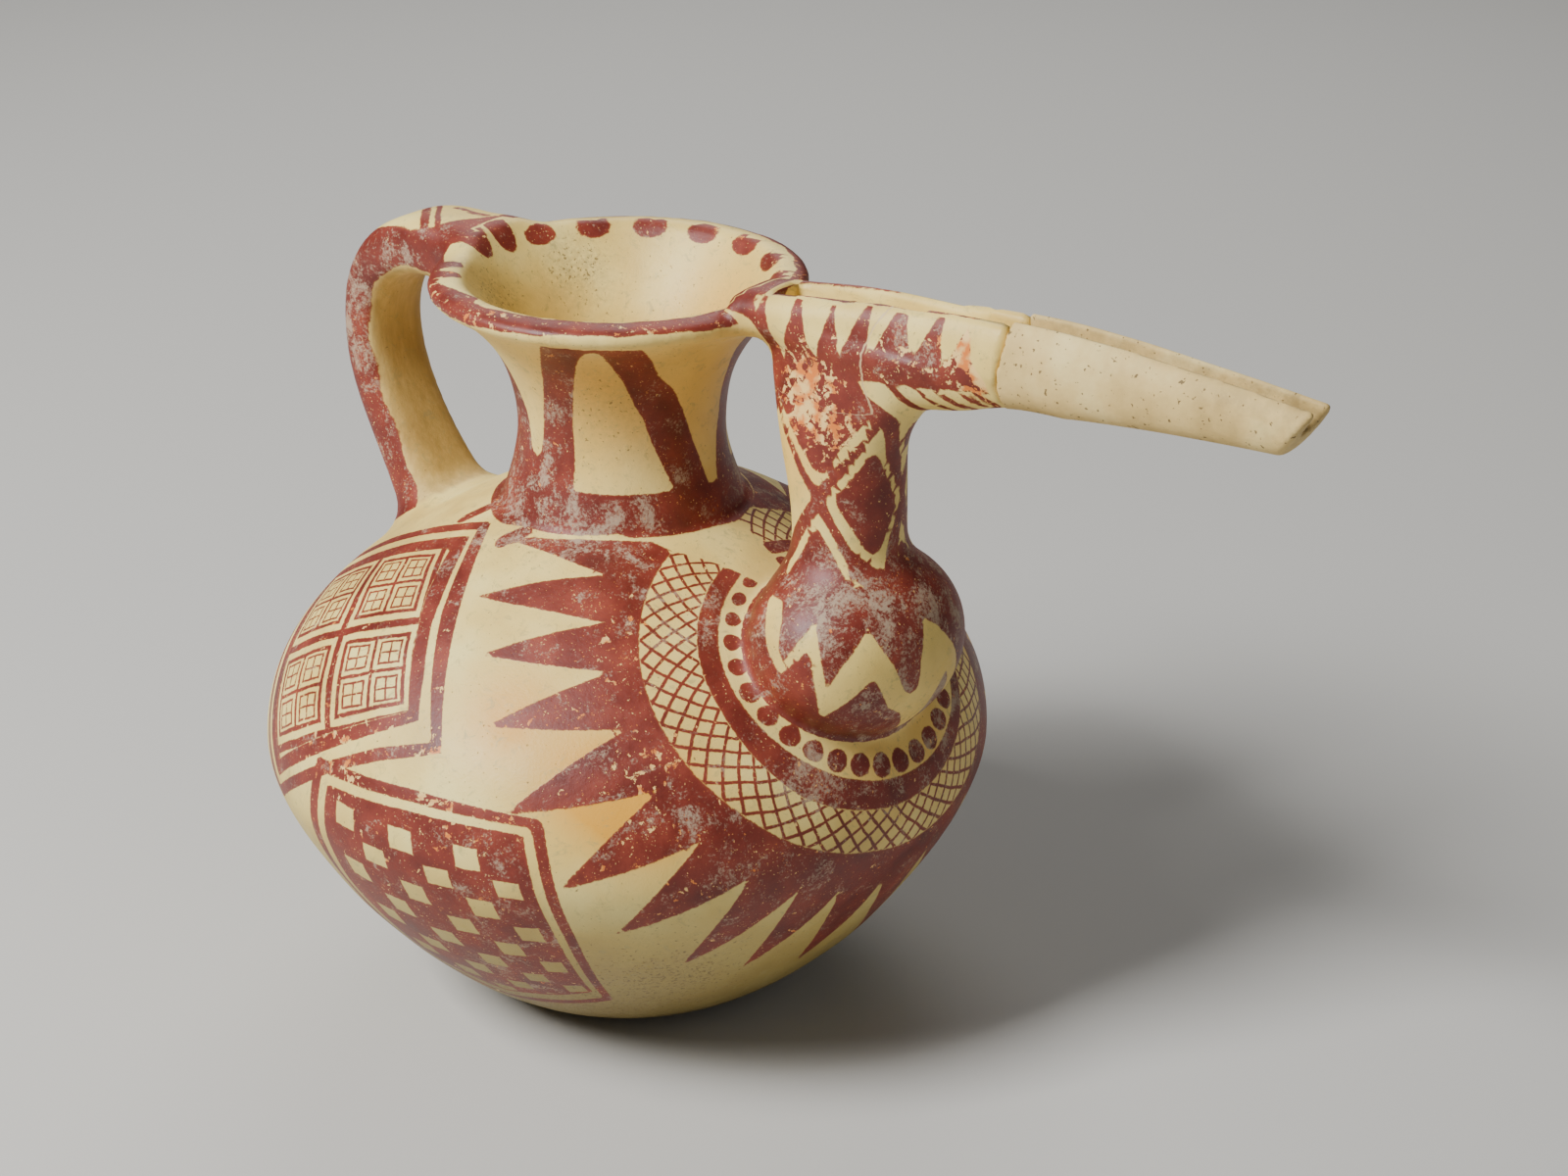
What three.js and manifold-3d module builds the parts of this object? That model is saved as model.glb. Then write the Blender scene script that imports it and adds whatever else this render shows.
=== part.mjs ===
// Spouted jar of painted, fired clay: a round body with a flared neck, a strap handle and a tall
// spout that ends in a long open beak. The last stretch of the beak is a plain piece of its own,
// fitted on along a crack. Millimetres, +Z up. The vessel's axis is the Z axis, the flat underside
// lies at Z = 0, the spout points along +X and the handle stands on the -X side.

import * as THREE from 'three';
import { mergeVertices } from 'three/addons/utils/BufferGeometryUtils.js';
import Module from 'manifold-3d';

// Body: a flat base, the widest girth and the shoulder up to the foot of the neck.
const baseRadius = 26.4;
const bodyRadius = 80;
const girthHeight = 60;
const underbodyRun = 19.7;
const lowerSideRise = 16;
const upperSideRise = 25.2;
const shoulderRun = 23.4;
const shoulderDrop = 11.8;
const shoulderHeight = 113.5;

// Neck and mouth.
const neckFootRadius = 26.5;
const neckFootLean = 1.9;
const neckFootRise = 5.4;
const waistRadius = 22.5;
const waistHeight = 130;
const waistRise = 15;
const mouthRadius = 40.2;
const mouthHeight = 164.2;
const mouthEdgeDrop = 2.9;
const flareRun = 9.6;
const flareRise = 5.4;

// Clay thickness.
const bodyWall = 4.6;
const lipEdgeThickness = 4.4;
const lipWidth = 6.4;
const throatRise = 16;
const throatRun = 6;
const throatDrop = 7;
const spoutWall = 5;

// Spout: a round pouch on the shoulder and a column that rises from it to the beak.
const spoutInset = 18.6;
const pouchRise = 5;
const pouchHalfLength = 20.5;
const pouchHalfWidth = 25.5;
const pouchHalfHeight = 20.5;
const columnRadius = 12;
const columnFilletHeight = 5.5;
const columnFilletRun = 3;
const headHalfWidth = 8.4;
const headBackRun = 8;
const headBackHeight = 41.8;
const headFrontRun = 23;
const headFrontHeight = 28.8;
const headDrop = 6.4;
const boreRadius = 6.6;

// Beak: from the lip of the mouth to its tip, with an open trough along its top.
const beakReach = 167.5;
const beakLap = 4.2;
const beakRearRise = 4.6;
const beakCrestRise = 12;
const beakCrestReach = 114;
const beakTipDrop = 3.6;
const beakRearDepth = 11;
const beakDepth = 18.6;
const beakTipDepth = 10.6;
const beakRearHalfWidth = 9;
const beakHalfWidth = 6.8;
const beakTipHalfWidth = 5.4;
const troughRearWidth = 8.6;
const troughWidth = 4.8;
const troughTipWidth = 4.4;
const troughFloor = 5;
const tipCutRun = 7;

// Repair: the plain end of the beak meets the painted stump along a crack.
const crackReach = 101.3;
const crackLean = 1.6;
const crackGap = 0.3;

// Handle: a strap from the shoulder over to the lip.
const handleFootInset = 29;
const handleFootSink = 10;
const handleReach = 70.8;
const handleReachHeight = 137;
const handleFootRise = 4;
const handleFootLean = 7;
const handleLowerRise = 17;
const handleUpperRise = 15;
const handleTopRun = 23;
const handleHump = 6;
const handleRimInset = 4;
const strapWidth = 18.4;
const strapThickness = 9.8;
const strapFootWidth = 24;
const strapFootThickness = 16;
const strapRimWidth = 21;
const strapRimThickness = 12.8;
const strapRimProud = 0.4;

// How finely the round forms are divided.
const turnSteps = 52;
const undersideSteps = 10;
const shoulderSteps = 9;
const neckSteps = 3;
const flareSteps = 6;
const lipSteps = 4;
const spoutSides = 20;
const uprightSteps = 17;
const boreSteps = 9;
const beakSteps = 11;
const troughSides = 12;
const troughSteps = 8;
const strapSides = 14;
const strapStepsEach = 8;
const innerUndersideSteps = 7;
const innerShoulderSteps = 7;
const innerNeckSteps = 2;

// How far cutting forms run past what they cut, how large a cutting block is, and how deep the
// pouch goes into the body.
const cutMargin = 8;
const cutterSize = 320;
const pouchDepthShare = 0.9;

// Points closer together than these count as one, and halvings made to find a height.
const joinWithin = 0.0001;
const sameWithin = 0.001;
const searchSteps = 30;

// How sharply forms spread and fall towards an end.
const headFrontPower = 2.5;
const filletPower = 2;
const tipDropPower = 1.6;
const footSpreadPower = 3;
const rimSpreadPower = 2;

// Section forms as superellipse powers.
const roundPower = 2;
const strapPower = 3.4;
const beakPower = 2.3;
const troughPower = 3;

// Finishes: burnished clay with red paint, and the plain matt clay of the beak's end.
const paintedClay = { color: '#c9855f', roughness: 0.62, metalness: 0 };
const plainBeak = { color: '#d3c5a1', roughness: 0.75, metalness: 0 };

const mix = THREE.MathUtils.lerp;
const smooth = (t) => THREE.MathUtils.smoothstep(t, 0, 1);

const manifold = await Module();
manifold.setup();

// A closed mesh with its shared vertices joined, as a solid that can be joined and cut.
function toSolid(geometry) {
  geometry.deleteAttribute('normal');
  geometry.deleteAttribute('uv');
  const merged = mergeVertices(geometry, joinWithin);
  const corners = merged.index.array;
  const kept = [];
  for (let i = 0; i < corners.length; i += 3) {
    const [a, b, c] = [corners[i], corners[i + 1], corners[i + 2]];
    if (a !== b && b !== c && c !== a) kept.push(a, b, c);
  }
  const vertProperties = new Float32Array(merged.attributes.position.array);
  const triVerts = new Uint32Array(kept);
  return new manifold.Manifold(new manifold.Mesh({ numProp: 3, vertProperties, triVerts }));
}

// A solid turned back into a mesh of its own name, form and colour.
function toMesh(name, solid, look) {
  const { vertProperties, triVerts, numProp } = solid.getMesh();
  const positions = new Float32Array((vertProperties.length / numProp) * 3);
  for (let i = 0, j = 0; i < vertProperties.length; i += numProp, j += 3) {
    positions.set(vertProperties.subarray(i, i + 3), j);
  }
  const geometry = new THREE.BufferGeometry();
  geometry.setAttribute('position', new THREE.BufferAttribute(positions, 3));
  geometry.setIndex(Array.from(triVerts));
  geometry.computeVertexNormals();
  const mesh = new THREE.Mesh(geometry, new THREE.MeshStandardMaterial(look));
  mesh.name = name;
  return mesh;
}

const point = (x, y) => new THREE.Vector2(x, y);

// The outer wall as four curves of radius against height, from the base to the lip.
const underside = new THREE.CubicBezierCurve(
  point(baseRadius, 0),
  point(baseRadius + underbodyRun, 0),
  point(bodyRadius, girthHeight - lowerSideRise),
  point(bodyRadius, girthHeight),
);
const shoulder = new THREE.CubicBezierCurve(
  point(bodyRadius, girthHeight),
  point(bodyRadius, girthHeight + upperSideRise),
  point(neckFootRadius + shoulderRun, shoulderHeight - shoulderDrop),
  point(neckFootRadius, shoulderHeight),
);
const neck = new THREE.CubicBezierCurve(
  point(neckFootRadius, shoulderHeight),
  point(neckFootRadius - neckFootLean, shoulderHeight + neckFootRise),
  point(waistRadius, waistHeight - neckFootRise),
  point(waistRadius, waistHeight),
);
const flareLength = Math.hypot(flareRun, flareRise);
const lipRadius = lipEdgeThickness / 2;
const lipCentre = point(mouthRadius - lipRadius, mouthHeight - mouthEdgeDrop);
const lipStartTurn = Math.atan2(-flareRun / flareLength, flareRise / flareLength);
const lipPoint = (turn) => point(
  lipCentre.x + lipRadius * Math.cos(turn),
  lipCentre.y + lipRadius * Math.sin(turn),
);
const flareEnd = lipPoint(lipStartTurn);
const flare = new THREE.CubicBezierCurve(
  point(waistRadius, waistHeight),
  point(waistRadius, waistHeight + waistRise),
  point(flareEnd.x - flareRun, flareEnd.y - flareRise),
  flareEnd,
);

// The rim's flat top ends in a ridge, where the wall turns down into the throat.
const ridge = point(mouthRadius - lipWidth, mouthHeight);
const throatRadius = waistRadius - bodyWall;
const throat = new THREE.CubicBezierCurve(
  point(throatRadius, waistHeight),
  point(throatRadius, waistHeight + throatRise),
  point(ridge.x - throatRun, ridge.y - throatDrop),
  ridge,
);

// Points of one wall curve, set in from the outside by a depth.
function wallPoints(curve, steps, depth) {
  const points = [];
  for (let i = 0; i <= steps; i += 1) {
    const along = curve.getTangent(i / steps);
    const at = curve.getPoint(i / steps);
    points.push(point(at.x - along.y * depth, at.y + along.x * depth));
  }
  return points;
}

// A closed solid turned about the Z axis from a profile of radius against height.
function turned(profile) {
  const distinct = profile.filter((p, i) => i === 0 || p.distanceTo(profile[i - 1]) > sameWithin);
  return toSolid(new THREE.LatheGeometry(distinct, turnSteps).rotateX(Math.PI / 2));
}

function vesselOutside() {
  const profile = [
    point(0, 0),
    ...wallPoints(underside, undersideSteps, 0),
    ...wallPoints(shoulder, shoulderSteps, 0),
    ...wallPoints(neck, neckSteps, 0),
    ...wallPoints(flare, flareSteps, 0),
  ];
  const lipEndTurn = Math.PI / 2;
  for (let i = 1; i <= lipSteps; i += 1) {
    profile.push(lipPoint(mix(lipStartTurn, lipEndTurn, i / lipSteps)));
  }
  profile.push(ridge, point(0, ridge.y));
  return turned(profile);
}

function vesselCavity() {
  return turned([
    point(0, bodyWall),
    ...wallPoints(underside, innerUndersideSteps, bodyWall),
    ...wallPoints(shoulder, innerShoulderSteps, bodyWall),
    ...wallPoints(neck, innerNeckSteps, bodyWall),
    ...wallPoints(throat, flareSteps, 0),
    point(ridge.x + cutMargin * throatRun / throatDrop, ridge.y + cutMargin),
    point(0, ridge.y + cutMargin),
  ]);
}

// Height of the shoulder's outside at a distance from the axis.
function shoulderHeightAt(radius) {
  let low = 0;
  let high = 1;
  for (let i = 0; i < searchSteps; i += 1) {
    const middle = (low + high) / 2;
    if (shoulder.getPoint(middle).x > radius) low = middle;
    else high = middle;
  }
  return shoulder.getPoint(low).y;
}

// One ring of points: a superellipse about a centre, spanned by two half axes.
function ring(centre, acrossAxis, upAxis, sides, power) {
  const points = [];
  const shaped = (value) => Math.sign(value) * Math.abs(value) ** (2 / power);
  for (let i = 0; i < sides; i += 1) {
    const turn = (2 * Math.PI * i) / sides;
    points.push(centre.clone()
      .addScaledVector(acrossAxis, shaped(Math.cos(turn)))
      .addScaledVector(upAxis, shaped(Math.sin(turn))));
  }
  return points;
}

// A closed solid skinned over rings of equal count, with a fan over each end.
function skinned(rings) {
  const sides = rings[0].length;
  const middle = (points) => points
    .reduce((sum, p) => sum.add(p), new THREE.Vector3())
    .divideScalar(points.length);
  const vertices = [...rings.flat(), middle(rings[0]), middle(rings[rings.length - 1])];
  const first = vertices.length - 2;
  const last = vertices.length - 1;
  const index = [];
  for (let r = 0; r + 1 < rings.length; r += 1) {
    for (let s = 0; s < sides; s += 1) {
      const a = r * sides + s;
      const b = r * sides + ((s + 1) % sides);
      index.push(a, b, b + sides, a, b + sides, a + sides);
    }
  }
  const top = (rings.length - 1) * sides;
  for (let s = 0; s < sides; s += 1) {
    const next = (s + 1) % sides;
    index.push(first, next, s);
    index.push(last, top + s, top + next);
  }
  const places = vertices.flatMap((v) => [v.x, v.y, v.z]);
  const geometry = new THREE.BufferGeometry();
  geometry.setAttribute('position', new THREE.Float32BufferAttribute(places, 3));
  geometry.setIndex(index);
  return toSolid(geometry);
}

// Spout axis, pouch and column, worked out from the shoulder and the beak.
const spoutX = bodyRadius - spoutInset;
const pouchCentreHeight = shoulderHeightAt(spoutX) + pouchRise;
const pouchTopHeight = pouchCentreHeight + pouchHalfHeight;

// Beak lines: height of its top edge, its depth and its half width at a distance from the axis.
const beakStart = mouthRadius - beakLap;
const beakSpan = beakReach - beakStart;
const crestShare = (beakCrestReach - beakStart) / beakSpan;

function beakTop(share) {
  if (share < crestShare) {
    const t = share / crestShare;
    return mouthHeight + mix(beakRearRise, beakCrestRise, Math.sin((t * Math.PI) / 2));
  }
  const t = (share - crestShare) / (1 - crestShare);
  return mouthHeight + beakCrestRise - beakTipDrop * t ** tipDropPower;
}

function beakDepthAt(share) {
  if (share < crestShare) return mix(beakRearDepth, beakDepth, smooth(share / crestShare));
  return mix(beakDepth, beakTipDepth, (share - crestShare) / (1 - crestShare));
}

function threeWay(share, rear, crest, tip) {
  if (share < crestShare) return mix(rear, crest, smooth(share / crestShare));
  return mix(crest, tip, (share - crestShare) / (1 - crestShare));
}

function beakForm() {
  const rings = [];
  for (let i = 0; i <= beakSteps; i += 1) {
    const share = i / beakSteps;
    const depth = beakDepthAt(share);
    const halfWidth = threeWay(share, beakRearHalfWidth, beakHalfWidth, beakTipHalfWidth);
    const centre = new THREE.Vector3(beakStart + beakSpan * share, 0, beakTop(share) - depth / 2);
    rings.push(ring(
      centre,
      new THREE.Vector3(0, halfWidth, 0),
      new THREE.Vector3(0, 0, depth / 2),
      spoutSides,
      beakPower,
    ));
  }
  return skinned(rings);
}

// The open trough: a channel from just behind the column's bore to beyond the tip.
const troughStart = mouthRadius + spoutWall;
const troughSpan = beakReach + cutMargin - troughStart;

function troughForm() {
  const rings = [];
  for (let i = 0; i <= troughSteps; i += 1) {
    const x = troughStart + (troughSpan * i) / troughSteps;
    const share = (x - beakStart) / beakSpan;
    const top = beakTop(Math.min(share, 1)) + cutMargin;
    const floor = beakTop(Math.min(share, 1)) - beakDepthAt(Math.min(share, 1)) + troughFloor;
    const width = threeWay(share, troughRearWidth, troughWidth, troughTipWidth);
    const rise = i === 0 ? spoutWall : 0;
    rings.push(ring(
      new THREE.Vector3(x, 0, (top + floor + rise) / 2),
      new THREE.Vector3(0, width / 2, 0),
      new THREE.Vector3(0, 0, (top - floor - rise) / 2),
      troughSides,
      troughPower,
    ));
  }
  return skinned(rings);
}

// The upright part of the spout: pouch, fillet and column, and the head that spreads under the beak.
const spoutTopHeight = mouthHeight + beakRearRise - headDrop;
const clamped = (t) => THREE.MathUtils.clamp(t, 0, 1);

function roundAt(z, halfHeight) {
  return Math.sqrt(Math.max(0, 1 - ((z - pouchCentreHeight) / halfHeight) ** 2));
}

function uprightRing(z) {
  const back = headBackRun * smooth((z - spoutTopHeight + headBackHeight) / headBackHeight);
  const intoHead = (z - spoutTopHeight + headFrontHeight) / headFrontHeight;
  const front = headFrontRun * clamped(intoHead) ** headFrontPower;
  const narrowing = smooth(intoHead);
  const ontoPouch = (pouchTopHeight + columnFilletHeight - z) / (2 * columnFilletHeight);
  const fillet = columnFilletRun * clamped(ontoPouch) ** filletPower;
  const round = roundAt(z, pouchHalfHeight);
  const aboveCentre = z > pouchCentreHeight;
  const columnLength = aboveCentre ? columnRadius + fillet + (back + front) / 2 : 0;
  const columnWidth = aboveCentre ? mix(columnRadius, headHalfWidth, narrowing) + fillet : 0;
  return ring(
    new THREE.Vector3(spoutX + (front - back) / 2, 0, z),
    new THREE.Vector3(Math.max(pouchHalfLength * round, columnLength), 0, 0),
    new THREE.Vector3(0, Math.max(pouchHalfWidth * round, columnWidth), 0),
    spoutSides,
    roundPower,
  );
}

function uprightForm() {
  const bottom = pouchCentreHeight - pouchHalfHeight * pouchDepthShare;
  const rings = [];
  for (let i = 0; i <= uprightSteps; i += 1) {
    rings.push(uprightRing(mix(bottom, spoutTopHeight, i / uprightSteps)));
  }
  return skinned(rings);
}

// The hollow of the spout: the inside of the pouch and the bore up to the trough.
function boreForm() {
  const halfHeight = pouchHalfHeight - spoutWall;
  const bottom = pouchCentreHeight - halfHeight * pouchDepthShare;
  const top = spoutTopHeight + spoutWall;
  const rings = [];
  for (let i = 0; i <= boreSteps; i += 1) {
    const z = mix(bottom, top, i / boreSteps);
    const round = roundAt(z, halfHeight);
    const narrowing = smooth((z - spoutTopHeight + headFrontHeight) / headFrontHeight);
    const halfWidth = mix(boreRadius, troughRearWidth / 2, narrowing);
    rings.push(ring(
      new THREE.Vector3(spoutX, 0, z),
      new THREE.Vector3(Math.max((pouchHalfLength - spoutWall) * round, boreRadius), 0, 0),
      new THREE.Vector3(0, Math.max((pouchHalfWidth - spoutWall) * round, halfWidth), 0),
      spoutSides,
      roundPower,
    ));
  }
  return skinned(rings);
}

// The strap handle, skinned along a line in the plane of the spout.
const handleFootRadius = bodyRadius - handleFootInset;
const handleFoot = point(-handleFootRadius, shoulderHeightAt(handleFootRadius));
const handleEnd = point(
  -(mouthRadius - handleRimInset),
  mouthHeight + strapRimProud - strapRimThickness / 2,
);
const handleLines = [
  new THREE.CubicBezierCurve(
    point(handleFoot.x, handleFoot.y - handleFootSink),
    point(handleFoot.x - handleFootLean, handleFoot.y + handleFootRise),
    point(-handleReach, handleReachHeight - handleLowerRise),
    point(-handleReach, handleReachHeight),
  ),
  new THREE.CubicBezierCurve(
    point(-handleReach, handleReachHeight),
    point(-handleReach, handleReachHeight + handleUpperRise),
    point(handleEnd.x - handleTopRun, handleEnd.y + handleHump),
    handleEnd,
  ),
];

function handleForm() {
  const rings = [];
  handleLines.forEach((line, part) => {
    for (let i = part; i <= strapStepsEach; i += 1) {
      const t = i / strapStepsEach;
      const at = line.getPoint(t);
      const along = line.getTangent(t);
      const towardsFoot = part === 0 ? (1 - t) ** footSpreadPower : 0;
      const towardsRim = part === 1 ? t ** rimSpreadPower : 0;
      const width = mix(mix(strapWidth, strapFootWidth, towardsFoot), strapRimWidth, towardsRim);
      const atFoot = mix(strapThickness, strapFootThickness, towardsFoot);
      const thickness = mix(atFoot, strapRimThickness, towardsRim);
      rings.push(ring(
        new THREE.Vector3(at.x, 0, at.y),
        new THREE.Vector3(0, width / 2, 0),
        new THREE.Vector3(-along.y * thickness / 2, 0, along.x * thickness / 2),
        strapSides,
        strapPower,
      ));
    }
  });
  return skinned(rings);
}

// A block that fills everything past a leaning plane that stands at a distance along X.
function beyond(x, z, lean, depth) {
  const block = new THREE.BoxGeometry(cutterSize, cutterSize, cutterSize);
  block.translate(cutterSize / 2, 0, 0);
  block.rotateY(Math.atan2(lean, depth));
  block.translate(x, 0, z);
  return toSolid(block);
}

const crackShare = (crackReach - beakStart) / beakSpan;
const crackHeight = beakTop(crackShare) - beakDepthAt(crackShare) / 2;
const tipHeight = beakTop(1);

const beak = beakForm().subtract(beyond(beakReach, tipHeight, tipCutRun, beakTipDepth));
const stump = beak.subtract(beyond(crackReach - crackGap / 2, crackHeight, crackLean, beakDepth));
const plainEnd = beak.intersect(beyond(crackReach + crackGap / 2, crackHeight, crackLean, beakDepth));
const trough = troughForm();

const jar = vesselOutside()
  .add(uprightForm())
  .add(stump)
  .add(handleForm())
  .subtract(vesselCavity())
  .subtract(boreForm())
  .subtract(trough);

const vessel = new THREE.Group();
vessel.add(toMesh('jar', jar, paintedClay));
vessel.add(toMesh('beak_end', plainEnd.subtract(trough), plainBeak));

export default vessel;
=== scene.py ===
import math

import bpy
import numpy as np
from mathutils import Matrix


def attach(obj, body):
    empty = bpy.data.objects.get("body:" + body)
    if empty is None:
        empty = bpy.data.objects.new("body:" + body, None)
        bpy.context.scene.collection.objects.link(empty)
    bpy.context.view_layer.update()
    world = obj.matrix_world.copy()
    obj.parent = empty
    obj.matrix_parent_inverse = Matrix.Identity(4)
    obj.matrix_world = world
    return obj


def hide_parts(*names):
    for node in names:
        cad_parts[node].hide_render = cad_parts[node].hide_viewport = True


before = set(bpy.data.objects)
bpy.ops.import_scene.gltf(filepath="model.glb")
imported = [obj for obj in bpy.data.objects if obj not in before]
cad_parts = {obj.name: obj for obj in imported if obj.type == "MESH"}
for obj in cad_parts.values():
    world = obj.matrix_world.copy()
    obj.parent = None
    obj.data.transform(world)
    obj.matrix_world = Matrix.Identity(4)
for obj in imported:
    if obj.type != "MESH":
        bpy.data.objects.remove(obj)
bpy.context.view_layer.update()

MM = 0.001

# Vessel outline: radius and height.
BASE_RADIUS = 26.4
BODY_RADIUS = 80
WAIST = (22.5, 130)
MOUTH_HEIGHT = 164.2
WALL = 4.6
UNDERSIDE = [(BASE_RADIUS, 0), (46.1, 0), (BODY_RADIUS, 44), (BODY_RADIUS, 60)]
SHOULDER = [(BODY_RADIUS, 60), (BODY_RADIUS, 85.2), (49.9, 101.7), (26.5, 113.5)]
NECK = [(26.5, 113.5), (24.6, 118.9), (22.5, 124.6), WAIST]
FLARE = [WAIST, (22.5, 145), (29.5, 154), (39.08, 159.38)]
THROAT = [(17.9, 130), (17.9, 146), (27.8, 157.2), (33.8, MOUTH_HEIGHT)]
LIP_CENTRE = (38.0, 161.3)
LIP_RADIUS = 2.2
LIP_TURNS = (-60.6, 90)

# Spout: pouch on the shoulder, column, and the beak with its trough.
SPOUT_X = 61.4
POUCH_CENTRE = 97.3
POUCH_HALF = (21, 25.5, 20.5)
POUCH_FORWARD = 2
SPOUT_WALL = 5
COLUMN_RADIUS = 12
COLUMN_TOP = 162.4
HEAD_HALF_WIDTH = 8.4
HEAD_BACK = (8, 41.8)
HEAD_FRONT = (23, 28.8, 2.5)
BORE_RADIUS = 6.6
BORE_NARROWING = 2.3
BORE_NARROWS_FROM = 134
BORE_NARROWS_OVER = 28
BEAK_START = 36
BEAK_REACH = 167.5
BEAK_CREST = 114
BEAK_POWER = 2.3
BEAK_BELLY_DROP = 6
BEAK_BELLY_X = 84
BEAK_BELLY_REACH = 14
TROUGH_START = 45.2
TROUGH_FLOOR = 5
CRACK = (101.3, 167, 4.92)
CRACK_GAP = 0.3
TIP_CUT = (167.5, 172.6, 33.4)

# Handle: a strap along two curves in the plane of the spout.
HANDLE = [
    [(-51, 91), (-58.5, 105), (-72, 120), (-72, 137)],
    [(-72, 137), (-72, 151), (-62.5, 164.8), (-36.2, 157.7)],
]
STRAP = (18.4, 11)
STRAP_FOOT = (24, 16)
STRAP_RIM = (21, 15.5)
STRAP_POWER = 3.4

# Widths over which the clay is smoothed from one form into the next, and edges are worn round.
COLUMN_JOIN = 6
BEAK_JOIN = 5
SHOULDER_JOIN = 2.6
HANDLE_JOIN = 7
MOUTH_EDGE = 1.6
BORE_EDGE = 1.2
TROUGH_EDGE = 1.5
END_TROUGH_EDGE = 1.3
TIP_EDGE = 1.2
BREAK_EDGE = 0.25

# Grid steps of the two pieces. They keep the jar under 100,000 four-sided faces.
JAR_STEP = 1.55
BEAK_STEP = 0.6


def bezier(corners, count=60):
    """Points of a cubic curve: the four corners weighed by the cubes of the share and its rest."""
    t = np.linspace(0, 1, count)[:, None]
    a, b, c, d = (np.array(corner, float) for corner in corners)
    return (1 - t) ** 3 * a + 3 * (1 - t) ** 2 * t * b + 3 * (1 - t) * t * t * c + t ** 3 * d


def set_in(points, depth):
    """A curve moved to its left by a depth: each point plus the depth times its unit normal."""
    along = np.gradient(points, axis=0)
    along /= np.linalg.norm(along, axis=1)[:, None]
    return np.column_stack([points[:, 0] - along[:, 1] * depth, points[:, 1] + along[:, 0] * depth])


def outline_distance(x, y, outline):
    """Distance to a closed outline, positive inside: the least distance to any of its edges, with
    the sign from counting the edges that a level line from the point crosses."""
    nearest = np.full(np.shape(x), np.inf)
    inside = np.zeros(np.shape(x), bool)
    outline = np.array(outline, float)
    for (ax, ay), (bx, by) in zip(outline, np.roll(outline, -1, axis=0)):
        ex, ey = bx - ax, by - ay
        t = np.clip(((x - ax) * ex + (y - ay) * ey) / max(ex * ex + ey * ey, 1e-12), 0, 1)
        nearest = np.minimum(nearest, (x - ax - t * ex) ** 2 + (y - ay - t * ey) ** 2)
        inside ^= ((ay > y) != (by > y)) & (x < ax + (y - ay) * ex / (ey or 1e-12))
    return np.where(inside, 1, -1) * np.sqrt(nearest)


def tabulate(function, low, high, step=0.5):
    """Values of a function of two lengths on an even grid, kept with the grid's corner and step."""
    first = np.arange(low[0], high[0] + step, step)
    second = np.arange(low[1], high[1] + step, step)
    return function(*np.meshgrid(first, second, indexing="ij")), low, step


def look_up(table, x, y):
    """The value between four grid points, mixed by how near the place is to each."""
    values, low, step = table
    u = np.clip((x - low[0]) / step, 0, values.shape[0] - 1.001)
    v = np.clip((y - low[1]) / step, 0, values.shape[1] - 1.001)
    i, j = u.astype(int), v.astype(int)
    u, v = u - i, v - j
    near = values[i, j] * (1 - u) + values[i + 1, j] * u
    far = values[i, j + 1] * (1 - u) + values[i + 1, j + 1] * u
    return near * (1 - v) + far * v


def smooth(t):
    """An ease from 0 to 1: three times the square less twice the cube, held at both ends."""
    t = np.clip(t, 0, 1)
    return t * t * (3 - 2 * t)


def blended(a, b, width):
    """The lesser of two distances, rounded where they meet over a width, as clay is smoothed on."""
    share = np.clip(0.5 + 0.5 * (b - a) / width, 0, 1)
    return b * (1 - share) + a * share - width * share * (1 - share)


def carved(a, b, width):
    """The greater of two distances, rounded where they meet over a width."""
    return -blended(-a, -b, width)


OUTER_CURVE = np.vstack([bezier(c) for c in (UNDERSIDE, SHOULDER, NECK, FLARE)])
LIP_ANGLES = np.radians(np.linspace(*LIP_TURNS, 14))
LIP = np.array(LIP_CENTRE) + LIP_RADIUS * np.column_stack([np.cos(LIP_ANGLES), np.sin(LIP_ANGLES)])
OUTSIDE = np.vstack([[(0, 0)], OUTER_CURVE, LIP, [THROAT[3], (0, MOUTH_HEIGHT)]])
INNER_WALLS = [set_in(bezier(c), WALL) for c in (UNDERSIDE, SHOULDER, NECK)]
CAVITY = np.vstack([[(0, WALL)], *INNER_WALLS, bezier(THROAT), [(40.7, 172.2), (0, 172.2)]])
TABLE_LOW, TABLE_HIGH = (-2, -6), (90, 182)
VESSEL_TABLE = tabulate(lambda r, z: -outline_distance(abs(r), z, OUTSIDE), TABLE_LOW, TABLE_HIGH)
CAVITY_TABLE = tabulate(lambda r, z: -outline_distance(abs(r), z, CAVITY), TABLE_LOW, TABLE_HIGH)
WALL_LENGTH = np.r_[0, np.cumsum(np.hypot(*np.diff(OUTER_CURVE, axis=0).T))]

HANDLE_LINE = np.vstack([bezier(HANDLE[0], 90), bezier(HANDLE[1], 90)[1:]])
HANDLE_ALONG = np.gradient(HANDLE_LINE, axis=0)
HANDLE_ALONG /= np.linalg.norm(HANDLE_ALONG, axis=1)[:, None]
HANDLE_LENGTH = np.r_[0, np.cumsum(np.hypot(*np.diff(HANDLE_LINE, axis=0).T))]


def nearest_on_handle(x, z):
    """The number of the handle line's nearest point to a place in the plane of the spout."""
    away = (x[..., None] - HANDLE_LINE[:, 0]) ** 2 + (z[..., None] - HANDLE_LINE[:, 1]) ** 2
    return np.argmin(away, axis=-1)


def handle_offset(x, z):
    """How far outside the handle line a place lies, across the line, positive on its outer face."""
    at = nearest_on_handle(x, z)
    along = HANDLE_ALONG[at]
    return (z - HANDLE_LINE[at, 1]) * along[..., 0] - (x - HANDLE_LINE[at, 0]) * along[..., 1]


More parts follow.
